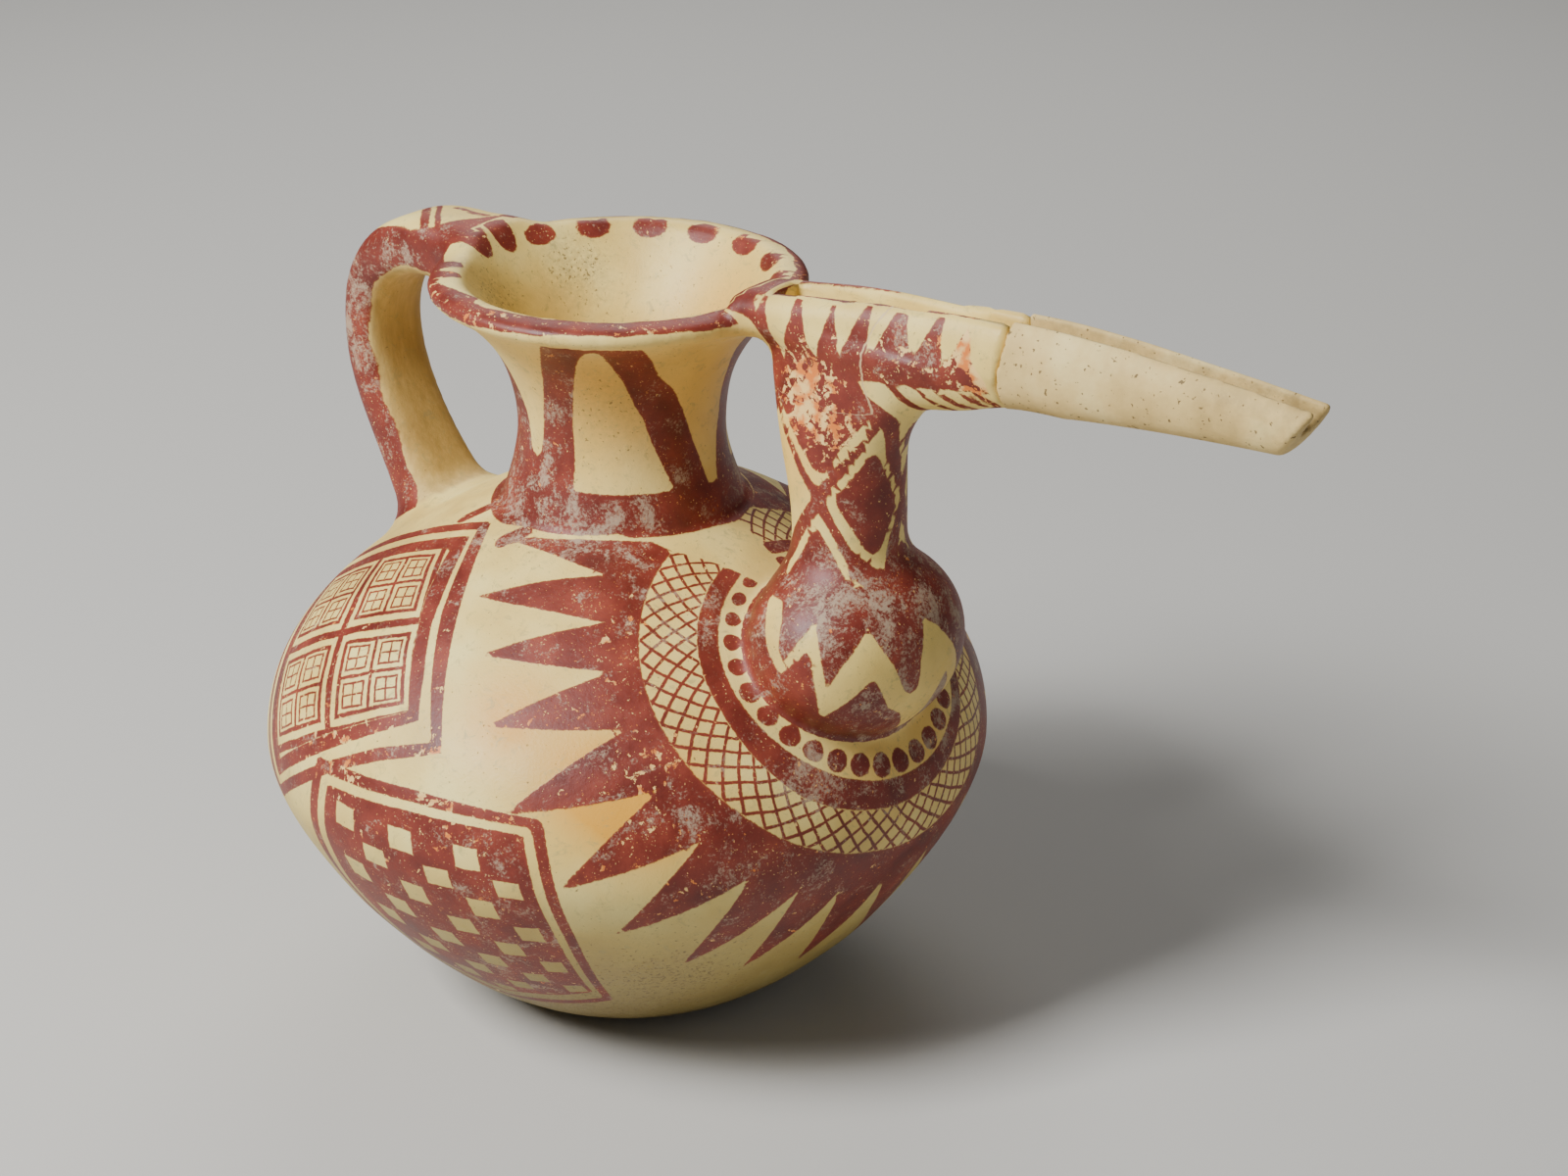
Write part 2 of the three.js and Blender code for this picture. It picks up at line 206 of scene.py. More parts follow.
def handle_place(x, z):
    """The length of handle line from the foot to the nearest point, past its ends too."""
    at = nearest_on_handle(x, z)
    along = HANDLE_ALONG[at]
    beyond = (x - HANDLE_LINE[at, 0]) * along[..., 0] + (z - HANDLE_LINE[at, 1]) * along[..., 1]
    ends = (at == 0) | (at == len(HANDLE_LINE) - 1)
    return HANDLE_LENGTH[at] + np.where(ends, beyond, 0)


OFFSET_TABLE = tabulate(handle_offset, (-86, 80), (10, 182))
PLACE_TABLE = tabulate(handle_place, (-86, 80), (10, 182))
HALF_HANDLE = HANDLE_LENGTH[89]
WHOLE_HANDLE = HANDLE_LENGTH[-1]


def section_distance(across, up, half_across, half_up, power):
    """Distance to a superellipse: how far the place is past the rim, along its own line out."""
    reach = (abs(across / half_across) ** power + abs(up / half_up) ** power) ** (1 / power)
    reach = np.maximum(reach, 1e-3)
    return np.hypot(across, up) * (1 - 1 / reach)


def vessel_field(p):
    """Turned outline: the outline's distance at the place's radius and height."""
    return look_up(VESSEL_TABLE, np.hypot(p[..., 0], p[..., 1]), p[..., 2])


def cavity_field(p):
    """Turned hollow: the hollow's outline distance at the place's radius and height."""
    return look_up(CAVITY_TABLE, np.hypot(p[..., 0], p[..., 1]), p[..., 2])


def egg_field(p, halves):
    """Ellipsoid about the pouch's centre: the place's length times one less one over its reach."""
    q = p - np.array([SPOUT_X + POUCH_FORWARD, 0, POUCH_CENTRE])
    reach = np.maximum(np.linalg.norm(q / halves, axis=-1), 1e-3)
    return np.linalg.norm(q, axis=-1) * (1 - 1 / reach)


def column_field(p):
    """Upright of oval rings: the ring's centre and half axes change with height, where the head
    spreads back towards the neck and forward under the beak."""
    z = p[..., 2]
    back = HEAD_BACK[0] * smooth((z - COLUMN_TOP + HEAD_BACK[1]) / HEAD_BACK[1])
    into_head = np.clip((z - COLUMN_TOP + HEAD_FRONT[1]) / HEAD_FRONT[1], 0, 1.1)
    front = HEAD_FRONT[0] * into_head ** HEAD_FRONT[2]
    half_width = COLUMN_RADIUS + (HEAD_HALF_WIDTH - COLUMN_RADIUS) * smooth(into_head)
    across = p[..., 0] - SPOUT_X - (front - back) / 2
    sides = section_distance(across, p[..., 1], COLUMN_RADIUS + (front + back) / 2, half_width, 2)
    steepness = 1 / np.sqrt(1 + 3 * into_head ** 3)
    return np.maximum(np.maximum(sides * steepness, z - COLUMN_TOP), POUCH_CENTRE - z)


def beak_lines(x):
    """Top height, depth, half width, trough width of the beak at a distance from the axis: each
    eases from the rim to the crest, and falls evenly from there to the tip."""
    share = np.clip((x - BEAK_START) / (BEAK_REACH - BEAK_START), 0, 1)
    crest = (BEAK_CREST - BEAK_START) / (BEAK_REACH - BEAK_START)
    rise = np.clip(share / crest, 0, 1)
    fall = np.clip((share - crest) / (1 - crest), 0, 1)
    top = MOUTH_HEIGHT + 4.6 + 7.4 * np.sin(rise * math.pi / 2) - 3.6 * fall ** 1.6
    depth = 11 + 7.6 * smooth(rise) - 8 * fall
    half_width = 9 - 2.2 * smooth(rise) - 1.4 * fall
    trough = 8.6 - 3.8 * smooth(rise) - 0.4 * fall
    return top, depth, half_width, trough


def beak_field(p):
    """Beak: a superellipse across it at each distance from the axis, cut off level at its root, with
    a belly hanging between the column and the crack."""
    x, y, z = p[..., 0], p[..., 1], p[..., 2]
    top, depth, half_width, _ = beak_lines(x)
    depth = depth + BEAK_BELLY_DROP * np.exp(-((x - BEAK_BELLY_X) / BEAK_BELLY_REACH) ** 2)
    sides = section_distance(y, z - top + depth / 2, half_width, depth / 2, BEAK_POWER)
    return np.maximum(sides, BEAK_START - x)


def trough_field(p):
    """Open channel along the beak's top, with a rounded floor a little above its underside."""
    x, y, z = p[..., 0], p[..., 1], p[..., 2]
    top, depth, _, width = beak_lines(x)
    low = top - depth + TROUGH_FLOOR
    centre, half = (top + 8 + low) / 2, (top + 8 - low) / 2
    return np.maximum(section_distance(y, z - centre, width / 2, half, 3), TROUGH_START - x)


def bore_field(p):
    """Hollow of the spout: the pouch's inside joined with the bore that rises to the trough."""
    z = p[..., 2]
    radius = np.hypot(p[..., 0] - SPOUT_X, p[..., 1])
    narrowing = BORE_NARROWING * smooth((z - BORE_NARROWS_FROM) / BORE_NARROWS_OVER)
    bore = np.maximum(radius - BORE_RADIUS + narrowing, POUCH_CENTRE - z)
    bore = np.maximum(bore, z - COLUMN_TOP - SPOUT_WALL)
    return blended(egg_field(p, np.array(POUCH_HALF) - SPOUT_WALL), bore, 3)


def handle_field(p):
    """Strap: a superellipse across the handle line, wider and thicker at the foot and the rim."""
    offset = look_up(OFFSET_TABLE, p[..., 0], p[..., 2])
    place = look_up(PLACE_TABLE, p[..., 0], p[..., 2])
    to_foot = np.clip(1 - place / HALF_HANDLE, 0, 1) ** 3
    to_rim = np.clip((place - HALF_HANDLE) / (WHOLE_HANDLE - HALF_HANDLE), 0, 1) ** 1.3
    width, thickness = (
        STRAP[i] + (STRAP_FOOT[i] - STRAP[i]) * to_foot + (STRAP_RIM[i] - STRAP[i]) * to_rim
        for i in (0, 1)
    )
    strap = section_distance(p[..., 1], offset, width / 2, thickness / 2, STRAP_POWER)
    return np.maximum(np.maximum(strap, place - WHOLE_HANDLE), -place)


def beyond(p, plane):
    """Distance past a plane that leans over a height: positive on its far side along X."""
    x, z, lean = plane
    turn = math.radians(lean)
    return (p[..., 0] - x) * math.cos(turn) - (p[..., 2] - z) * math.sin(turn)


def crack_field(p):
    """The repair crack: its leaning plane, with the small steps of a break."""
    steps = 0.28 * np.sin(p[..., 2] * 0.5 + 0.9) + 0.1 * np.sin(p[..., 2] * 1.7 + p[..., 1] * 0.5)
    return beyond(p, CRACK) + steps


def unevenness(p):
    """How far the hand-smoothed skin lies inside the true form: slow waves, from 0 to 0.5."""
    x, y, z = p[..., 0], p[..., 1], p[..., 2]
    wave = np.sin(x * 0.11 + 1.3) * np.sin(y * 0.13 + 0.4) * np.sin(z * 0.12 + 2.1)
    ripple = np.sin(x * 0.31 + z * 0.12) * np.sin(y * 0.27 - z * 0.17)
    return (0.25 + 0.18 * wave + 0.07 * ripple) * smooth(z / 10)


def jar_field(p):
    """Vessel, spout, beak stump and handle, smoothed into each other, less all its hollows."""
    spout = blended(egg_field(p, np.array(POUCH_HALF)), column_field(p), COLUMN_JOIN)
    spout = blended(spout, beak_field(p), BEAK_JOIN)
    clay = blended(vessel_field(p), spout, SHOULDER_JOIN)
    clay = blended(clay, handle_field(p), HANDLE_JOIN) + unevenness(p)
    clay = carved(clay, crack_field(p) + CRACK_GAP / 2, BREAK_EDGE)
    clay = carved(clay, -cavity_field(p), MOUTH_EDGE)
    clay = carved(clay, -bore_field(p), BORE_EDGE)
    return carved(clay, -trough_field(p), TROUGH_EDGE)


def beak_end_field(p):
    """The plain end of the beak: what lies past the crack, cut at a slant at its tip."""
    clay = carved(beak_field(p) + 0.6 * unevenness(p), -trough_field(p), END_TROUGH_EDGE)
    clay = carved(clay, beyond(p, TIP_CUT), TIP_EDGE)
    return carved(clay, CRACK_GAP / 2 - crack_field(p), BREAK_EDGE)


def skin_of(field, low, high, step):
    """The zero surface of a field as four-sided faces. The field is taken on a grid. Each cell that
    it crosses gets one point, the mean of the crossings on the cell's edges, and each grid edge that
    it crosses gets a face between the four cells around it, turned outwards. The points are then
    moved onto the field's zero along its slope."""
    counts = np.ceil((np.array(high) - low) / step).astype(int) + 1
    axes = [low[i] + step * np.arange(counts[i]) for i in range(3)]
    values = field(np.stack(np.meshgrid(*axes, indexing="ij"), axis=-1))
    inside = values < 0
    cells = counts - 1
    total = np.zeros((*cells, 3))
    found = np.zeros(cells)
    faces = []
    steps = np.eye(3, dtype=int)
    for axis in range(3):
        ahead = tuple(slice(1, None) if i == axis else slice(None) for i in range(3))
        behind = tuple(slice(None, -1) if i == axis else slice(None) for i in range(3))
        crossed = inside[behind] != inside[ahead]
        where = np.argwhere(crossed)
        first, second = values[behind][crossed], values[ahead][crossed]
        share = first / (first - second)
        places = where + share[:, None] * steps[axis]
        b, c = (axis + 1) % 3, (axis + 2) % 3
        ring = [where - db * steps[b] - dc * steps[c] for db, dc in ((1, 1), (0, 1), (0, 0), (1, 0))]
        for cell in ring:
            fits = np.all((cell >= 0) & (cell < cells), axis=1)
            np.add.at(total, tuple(cell[fits].T), places[fits])
            np.add.at(found, tuple(cell[fits].T), 1)
        corners = [np.ravel_multi_index(tuple(np.clip(cell, 0, cells - 1).T), cells) for cell in ring]
        quads = np.stack(corners, 1)
        faces.append(np.where((first < 0)[:, None], quads, quads[:, ::-1]))
    used = np.flatnonzero(found.ravel())
    points = total.reshape(-1, 3)[used] / found.ravel()[used][:, None] * step + np.array(low)
    number = np.zeros(found.size, int)
    number[used] = np.arange(len(used))
    for _ in range(3):
        away = field(points)
        slope = slope_of(field, points)
        points = points - np.clip(away, -step, step)[:, None] * slope
    return points, number[np.vstack(faces)]


def slope_of(field, points, reach=0.15):
    """Unit direction in which a field grows fastest, from its change over a short reach."""
    slope = np.stack([field(points + reach * e) - field(points - reach * e) for e in np.eye(3)], -1)
    return slope / np.maximum(np.linalg.norm(slope, axis=1), 1e-9)[:, None]


# Painted decoration. Each function gives a signed distance in millimetres, positive on the red. A
# layer holds it as far as LAYER_REACH to either side, and is UNPAINTED away from its own form.
LAYER_REACH = 6
UNPAINTED = -LAYER_REACH
RING_CENTRE = np.array([54.6, 0, 85.5])
DOWNHILL = np.array([0.719, 0, -0.695])
RING_AXIS = np.array([0.695, 0, 0.719])
INNER_SHIFT = np.array([0.3, 1.2, 0.2])
DOWNHILL_STRETCH = 1.1
DOTS_START = 23.5
RED_RING_START = 30.2
HATCH_MIDDLE = 39.5
HATCH_PERIOD = 4.4
STAR_MM_PER_DEGREE = 1.02

# Tips and valleys of the great star round the pouch: turn in degrees, then distance from its centre.
STAR_TIPS = [
    (153, 72), (140, 74), (127, 72.2), (113, 73), (98, 75.8), (83, 74.2), (70, 70.4), (53, 67),
    (37, 63.4), (17, 63), (-8, 65), (-28, 64), (-45, 66), (-60, 70), (-75, 73), (-90, 75), (-105, 75),
    (-120, 74), (-135, 74), (-150, 73),
]
STAR_VALLEYS = [
    (162, 50), (145, 50), (131, 49), (117, 49), (102, 50), (86, 51), (71, 51), (56, 50), (41, 47),
    (26, 45), (7, 44), (-14, 44), (-36, 45), (-52, 48), (-67, 50), (-82, 51), (-97, 51), (-112, 50),
    (-127, 49), (-143, 50), (-160, 50),
]

# Turns round the ring that stay unpainted behind the column.
BARE_SECTOR = (159, 188)


def star_paint(p):
    """Red star: beyond the hatched band, as far out as the line through its tips and valleys, drawn
    flat, and joined up below its valleys."""
    corners = sorted(STAR_TIPS + STAR_VALLEYS)
    reach = [(turn * STAR_MM_PER_DEGREE, radius) for turn, radius in corners]
    reach = [(-300, 50), (-163, 50), *reach, (163, 50), (300, 50), (300, 20), (-300, 20)]
    flat_turn = ring_turn(p) * STAR_MM_PER_DEGREE
    edge = outline_distance(flat_turn, np.linalg.norm(p - RING_CENTRE, axis=1), reach)
    return np.minimum(edge, ring_radius(p) - hatch_edges(p)[1])


def ring_turn(p):
    """Degrees round the ring's centre, from the downhill way towards the near side."""
    q = p - RING_CENTRE
    return np.degrees(np.arctan2(-q[:, 1], q @ DOWNHILL))


def hatch_edges(p):
    """Radii where the hatched band starts and ends, eased round the ring: a little nearer at its
    near side, and nearer outside at its foot."""
    turn = ring_turn(p)
    inner = np.interp(turn, [-180, -60, 20, 55, 75, 95, 180], [34, 34.5, 35.2, 35.6, 34.4, 33.2, 34])
    outer = np.interp(turn, [-180, -60, -10, 20, 55, 85, 180], [44.5, 44.5, 43, 42.3, 43.6, 44.6, 44.5])
    return inner, outer


def off_bare_sector(p):
    """Distance from the unpainted sector of the ring behind the column, where the neck stands."""
    low, high = BARE_SECTOR
    low = low + 0.5 * np.clip(44 - ring_radius(p), 0, 16)
    past = abs((ring_turn(p) - (low + high) / 2 + 180) % 360 - 180) - (high - low) / 2
    return np.radians(past) * ring_radius(p)


def ring_radius(p, centre=RING_CENTRE):
    """Distance from the ring's centre, with the downhill way counted a tenth longer."""
    q = p - centre
    return np.sqrt((DOWNHILL_STRETCH * (q @ DOWNHILL)) ** 2 + q[:, 1] ** 2 + (q @ RING_AXIS) ** 2)


def near_side(p):
    """The place mirrored to the near side, because the far side repeats the decoration."""
    return np.column_stack([p[:, 0], -abs(p[:, 1]), p[:, 2]])


# The window panel's own rulings, as the ratios of three slopes seen from the body's middle.
MIDDLE = np.array([0, 0, 60])
WINDOW_ACROSS = np.array([69.82, 18.4, 46.09])
WINDOW_UP = np.array([-17.59, 68.0, 44.53])
WINDOW_FAR = np.array([-0.4037, -0.7305, 0.5509])

# The checker panel's plane, square to its own line of sight from the body's middle.
CHECK_ACROSS = np.array([0.996, 0.087, 0])
CHECK_UP = np.array([0.018, -0.207, 0.978])
CHECK_FAR = np.array([0.085, -0.974, -0.208])
CHECK_REACH = 80


def window_place(p):
    """Place on the window panel: two slopes over a third, so that its ruled lines are straight."""
    q = near_side(p) - MIDDLE
    far = q @ WINDOW_FAR
    far = np.where(far > 8, far, 8)
    return q @ WINDOW_ACROSS / far, q @ WINDOW_UP / far


def check_place(p):
    """Place on the checker panel, thrown from the body's middle onto a plane that touches it."""
    q = near_side(p) - MIDDLE
    far = q @ CHECK_FAR
    far = np.where(far > 8, far, 8)
    return q @ CHECK_ACROSS * CHECK_REACH / far, q @ CHECK_UP * CHECK_REACH / far


WINDOW_CELL = (27.6, 28.2)
CHECK_PERIOD = (17.0, 14.9)
WINDOW_FIELD = [(3.7, 0.5), (0.4, -17), (-0.2, -53.5), (-26, -54.5), (-54.5, -57), (-54.5, 0.5)]
THICK_FRAME = [(10, 6), (4.7, -28), (4.5, -43), (3, -57), (-22, -58.5), (-59, -61.5), (-59, 5)]
FRAME_INNER = [(12, 9), (7.3, -24), (7, -44), (6.8, -64.5), (-10, -62), (-31, -62), (-62, -64), (-62, 9)]
FRAME_OUTER = [(17, 13), (13.2, -24), (11.7, -44), (10, -69), (-10, -66), (-26, -65.3), (-66, -68), (-66, 13)]
CHECK_FIELD = [(-24, 26.8), (4, 28.9), (32.2, 29.6), (36.2, 0), (38.8, -32), (8, -39), (-15, -31), (-23, 0)]
CHECK_GAP = [(-27, 29), (4, 31), (34.5, 31.5), (38.5, 0), (41, -38), (6, -44), (-18, -36), (-26, 0)]
CHECK_OUTER = [(-31, 32), (4, 34), (37.5, 34), (41.6, 0), (44, -42), (6, -48), (-22, -38), (-29.5, 0)]


def wall_place(p):
    """Degrees about the vessel's axis and length up its outer wall from the edge of the base."""
    height = p[:, 2]
    turn = np.degrees(np.arctan2(p[:, 1], p[:, 0]))
    return turn, np.interp(height, OUTER_CURVE[:, 1], WALL_LENGTH)


NECK_MM_PER_DEGREE = 0.42
NECK_CREAM = [
    [(-75, 172.8), (-75, 187), (-71, 196.4), (-65, 206), (-60, 212), (-57, 213.8), (-54.5, 212),
     (-53.5, 208.4), (-50, 203), (-46, 198), (-42, 193), (-37, 189), (-34, 185), (-29, 180.3),
     (-26, 177.3), (-21, 172.6)],
    [(-72, 230), (-72, 217), (-84, 201.4), (-93, 189), (-98, 179.4), (-102, 177.6), (-107, 179.2),
     (-109, 187), (-115, 193), (-120, 202), (-124, 217), (-124, 230)],
    [(-42, 230), (-42, 216.6), (-40, 212.4), (-32, 201), (-22, 195.5), (-17, 191.5), (-11, 186.2),
     (-8, 183), (-3, 178.6), (1, 172), (8, 171), (14, 178.6), (17, 185.6), (12, 197), (5, 205),
     (0, 217), (0, 230)],
    [(34, 172.8), (36, 186), (44, 198), (53, 209), (59, 216), (64, 208), (70, 196), (74, 172.8)],
    [(88, 230), (92, 200), (97, 181), (101, 178), (106, 180), (112, 194), (124, 216), (126, 230)],
]
COLLAR_FOOT = [
    (-180, 161.5), (-145, 160.8), (-128, 160.2), (-112, 160), (-99, 162.1), (-82, 163), (-51, 164.5),
    (-44, 163.5), (-30, 163.1), (-6, 162.5), (9, 161), (26, 161.3), (90, 162.6), (180, 161.5),
]
STAR_TOP = [
    (-180, 150), (-96, 158), (-91, 160.6), (-69, 162.7), (-51, 163), (-26, 161.6), (0, 161.6), (180, 161.6),
]
NECK_FOOT = 163.2


def neck_paint(p):
    """Red neck above the line of its foot, with arched, leaning and hanging cream panels."""
    turn, length = wall_place(p)
    panels = np.maximum.reduce([
        outline_distance(turn * NECK_MM_PER_DEGREE, length, [(a * NECK_MM_PER_DEGREE, s) for a, s in panel])
        for panel in NECK_CREAM
    ])
    return np.minimum(length - np.interp(turn, *zip(*COLLAR_FOOT)), -panels)


def foot_strokes(p):
    """Two short brush strokes on the shoulder by the neck's foot, seen from above."""
    x, y = p[:, 0], p[:, 1]
    strokes = np.maximum(
        stroke(x, y, [(-23.5, -25.4), (-18.6, -21.8)], 1.6), stroke(x, y, [(-6.3, -31.2), (-3, -28.2)], 1.9)
    )
    return np.where(p[:, 2] > 106, strokes, UNPAINTED)


POUCH_MM_PER_DEGREE = 0.4
POUCH_CREAM = [
    (-114, 110), (-98, 110.5), (-91, 108), (-87, 102), (-84, 101), (-78, 105), (-71, 109.5), (-67, 105),
    (-64, 100), (-62, 96.5), (-56, 101), (-42, 108), (-29, 100), (-23, 94), (-17, 92), (-14, 94),
    (-12, 100), (-5, 107.5), (4, 105), (16, 99), (27, 90), (32, 87), (32, 78), (22, 84), (15, 91),
    (9, 94.5), (4, 91), (0, 84), (-8, 79), (-22, 88), (-31, 90.5), (-40, 98.5), (-50, 94.5), (-66, 89),
    (-67, 95), (-70, 103), (-73, 103.7), (-85, 98), (-94, 102), (-104, 107),
]


def pouch_paint(p):
    """Red pouch with a cream zigzag round it, the far half a mirror of the near half."""
    turn = np.degrees(np.arctan2(p[:, 1], p[:, 0] - SPOUT_X))
    turn = np.where(turn < -148, turn + 360, turn)
    turn = np.where(turn > 32, 64 - turn, turn)
    outline = [(a * POUCH_MM_PER_DEGREE, z) for a, z in POUCH_CREAM]
    return -outline_distance(turn * POUCH_MM_PER_DEGREE, p[:, 2], outline)


COLUMN_MM_PER_DEGREE = 0.215
COLUMN_FOLD = (-168, 12)
COLUMN_CREAM = [
    [(-153, 148.8), (-139, 146.8), (-119, 142.7), (-98, 138.8), (-90, 136.7), (-78, 137.2),
     (-65, 141.7), (-47, 146), (-35, 149.6), (-33, 148.4), (-41, 144.7), (-56, 141.1), (-72, 137.5),
     (-87, 133.6), (-100, 136.3), (-117, 140.4), (-137, 144.4)],
    [(-92, 131.4), (-107, 135.1), (-123, 139.5), (-137, 142.6), (-150, 146.5), (-168, 142), (-168, 120),
     (-150, 117), (-140, 118.5), (-120, 123.9)],
    [(-25, 147.9), (-17, 140.5), (6, 131.5), (6, 130.4), (-6, 124.3), (-19, 116.7), (-23, 116.4),
     (-31, 117.8), (-51, 121.4), (-68, 127.2), (-78, 131.3), (-69, 134.2), (-56, 137.8), (-39, 142.5)],
    [(-86, 128.4), (-92, 126.5), (-112, 120.6), (-122, 115.7), (-118, 114), (-111, 113.8),
     (-113, 115.7), (-102, 120.6), (-89, 125), (-85, 125), (-70, 120.4), (-56, 115.8), (-53, 115.4),
     (-51, 116.8), (-61, 120.6), (-74, 125.5)],
    [(-51, 116), (-41, 114.4), (-49, 114.1)],
    [(-13, 147.8), (-3, 148.5), (2, 143), (12, 139.5), (12, 134), (5, 138.2)],
    [(12, 127), (5, 121), (-9, 113.7), (-4, 116.5), (12, 121.5)],
]
LOZENGE = [
    (-29, 141.8), (-22, 139.8), (-12, 135.3), (-3, 131.3), (-1, 129.4), (-9, 125.8), (-19, 121.2),
    (-27, 119.5), (-35, 120.5), (-44, 123.4), (-59, 128.4), (-67, 130.9), (-67, 132.2), (-60, 134.1),
    (-45, 137.8), (-35, 141),
]


def column_paint(p):
    """Red column with cream strips that cross between it and a lozenge, a plain cream panel towards
    the neck, and the far side folded over from the near side."""
    low, high = COLUMN_FOLD
    turn = np.degrees(np.arctan2(p[:, 1], p[:, 0] - SPOUT_X))
    turn = np.where(turn < low, turn + 360, turn)
    around = np.where(turn > high, 2 * high - turn, turn) * COLUMN_MM_PER_DEGREE
    strips, lozenge = (
        np.maximum.reduce([
            outline_distance(around, p[:, 2], [(a * COLUMN_MM_PER_DEGREE, z) for a, z in outline])
            for outline in outlines
        ])
        for outlines in (COLUMN_CREAM, [LOZENGE])
    )
    return np.maximum(-strips, lozenge)


BEAK_CREAM = [
    [(41.9, 168.2), (43.8, 168.6), (44.2, 165.8)],
    [(45.2, 168.9), (52.1, 170.4), (52.6, 166.4), (50.6, 160.6), (49.4, 156.7), (48.3, 160.4),
     (46.8, 165.8)],
    [(53.8, 170.4), (61, 171.4), (61.3, 168.9), (60.1, 163.4), (59, 158.9), (57.5, 162.4),
     (55.4, 167.9)],
    [(62, 171.9), (69.4, 172.8), (68.4, 169.6), (66.6, 165.4), (65.2, 160.8), (64.3, 165.2),
     (63, 168.9)],
    [(70.7, 172.9), (76.8, 173.4), (75.5, 169.9), (73.9, 166.4), (72.1, 162.4), (71.6, 165.2),
     (71.4, 169.1)],
    [(79, 173.6), (86.1, 174.1), (85.2, 171.2), (83.6, 168), (81.8, 164.1), (80.7, 167.4),
     (79.7, 170.7)],
    [(87.5, 174.1), (93.5, 174.6), (93.2, 172.6), (91.3, 168.6), (89.1, 163.4), (88.5, 167.4),
     (87.9, 171.5)],
]
BEAK_ROOT = [(30, 150), (30, 165.6), (41, 164.6), (43.4, 163.6), (44.4, 161), (44.4, 150)]
BEAK_BELLY = [
    (69.4, 157.1), (74.5, 158.1), (83, 158.8), (86.5, 158.9), (92, 160), (98, 160.4), (101, 160.6),
    (105, 158), (104, 140), (78, 140), (77, 147), (76.1, 150.4), (74.1, 152.6), (71.1, 154.6),
]
BELLY_STRIPES = [
    [(76.4, 159.2), (77.6, 157.2), (79.2, 155), (81.6, 152.6), (85, 150.6)],
    [(82.4, 159.6), (83.6, 157.4), (86, 155.4), (89.5, 153.8)],
    [(86.4, 160), (88, 158), (90.6, 156.4), (94, 155.2)],
    [(91.6, 160.8), (93.4, 158.6), (96.4, 157), (99, 156)],
    [(95.4, 161), (97.4, 159), (99.8, 157.8), (102, 157)],
]
STRIPE_HALF = [0.95, 0.6, 0.7, 0.6, 0.75]
NEAR_EDGING = (1.1, 3)
FAR_EDGING = (2.6, 1.4)
MEND = [(72.6, 149), (72.2, 152.4), (70.6, 156.5), (70.9, 164.2), (72.3, 168.5), (75, 173)]


def stroke(x, y, line, half):
    """A brush stroke: its half width less the distance to the nearest stretch of its line."""
    nearest = np.full(np.shape(x), np.inf)
    for (ax, ay), (bx, by) in zip(line[:-1], line[1:]):
        ex, ey = bx - ax, by - ay
        t = np.clip(((x - ax) * ex + (y - ay) * ey) / (ex * ex + ey * ey), 0, 1)
        nearest = np.minimum(nearest, np.hypot(x - ax - t * ex, y - ay - t * ey))
    return half - nearest


def beak_paint(p):
    """Red beak root with cream points hanging from its top edge and a striped cream belly. The
    paint ends a little before the crack."""
    x, z = p[:, 0], p[:, 2]
    points = np.maximum.reduce([outline_distance(x, z, cream) for cream in BEAK_CREAM])
    belly = outline_distance(x, z, BEAK_BELLY)
    stripes = np.maximum.reduce([stroke(x, z, s, h) for s, h in zip(BELLY_STRIPES, STRIPE_HALF)])
    red = np.minimum(-0.1 - points, np.maximum(-belly, stripes))
    root = outline_distance(x, z, BEAK_ROOT)
    paint_end = np.interp(z, [156, 160, 164, 166.5, 171, 175], [101, 99.4, 98.4, 95.4, 94.8, 93.6])
    return np.minimum.reduce([red, -root, paint_end - x])


# Rim of the mouth: degrees about the axis, where the red starts inside, and how low it hangs outside.
RIM_INNER = [
    (-180, 38.5), (-170, 40), (-158, 39.2), (-150, 37.8), (-135, 37.8), (-126, 37.8), (-112, 36.2),
    (-101, 35.6), (-93, 35.6), (-86, 34.5), (-60, 34.3), (-39, 34.2), (0, 34.4), (25, 36), (50, 37.4),
    (90, 37.9), (135, 37.9), (180, 38.5),
]
RIM_LOW = [
    (-180, 160), (-117, 160.4), (-94, 160.8), (-80, 161.7), (-60, 162.5), (-46, 162.6), (-20, 162.2),
    (0, 161), (20, 160), (180, 160),
]
RIM_FINGERS = [
    ([(-173, 44), (-170, 39), (-168, 34.6)], 3.2), ([(179, 36.4), (179, 33.8)], 3),
    ([(-150, 43), (-146.5, 38.4), (-146.3, 35)], 2.1), ([(-141, 43), (-137, 38), (-134.8, 34.8)], 2.1),
    ([(-129, 39.5), (-118, 36.9), (-107.2, 34.9)], 1.5),
]


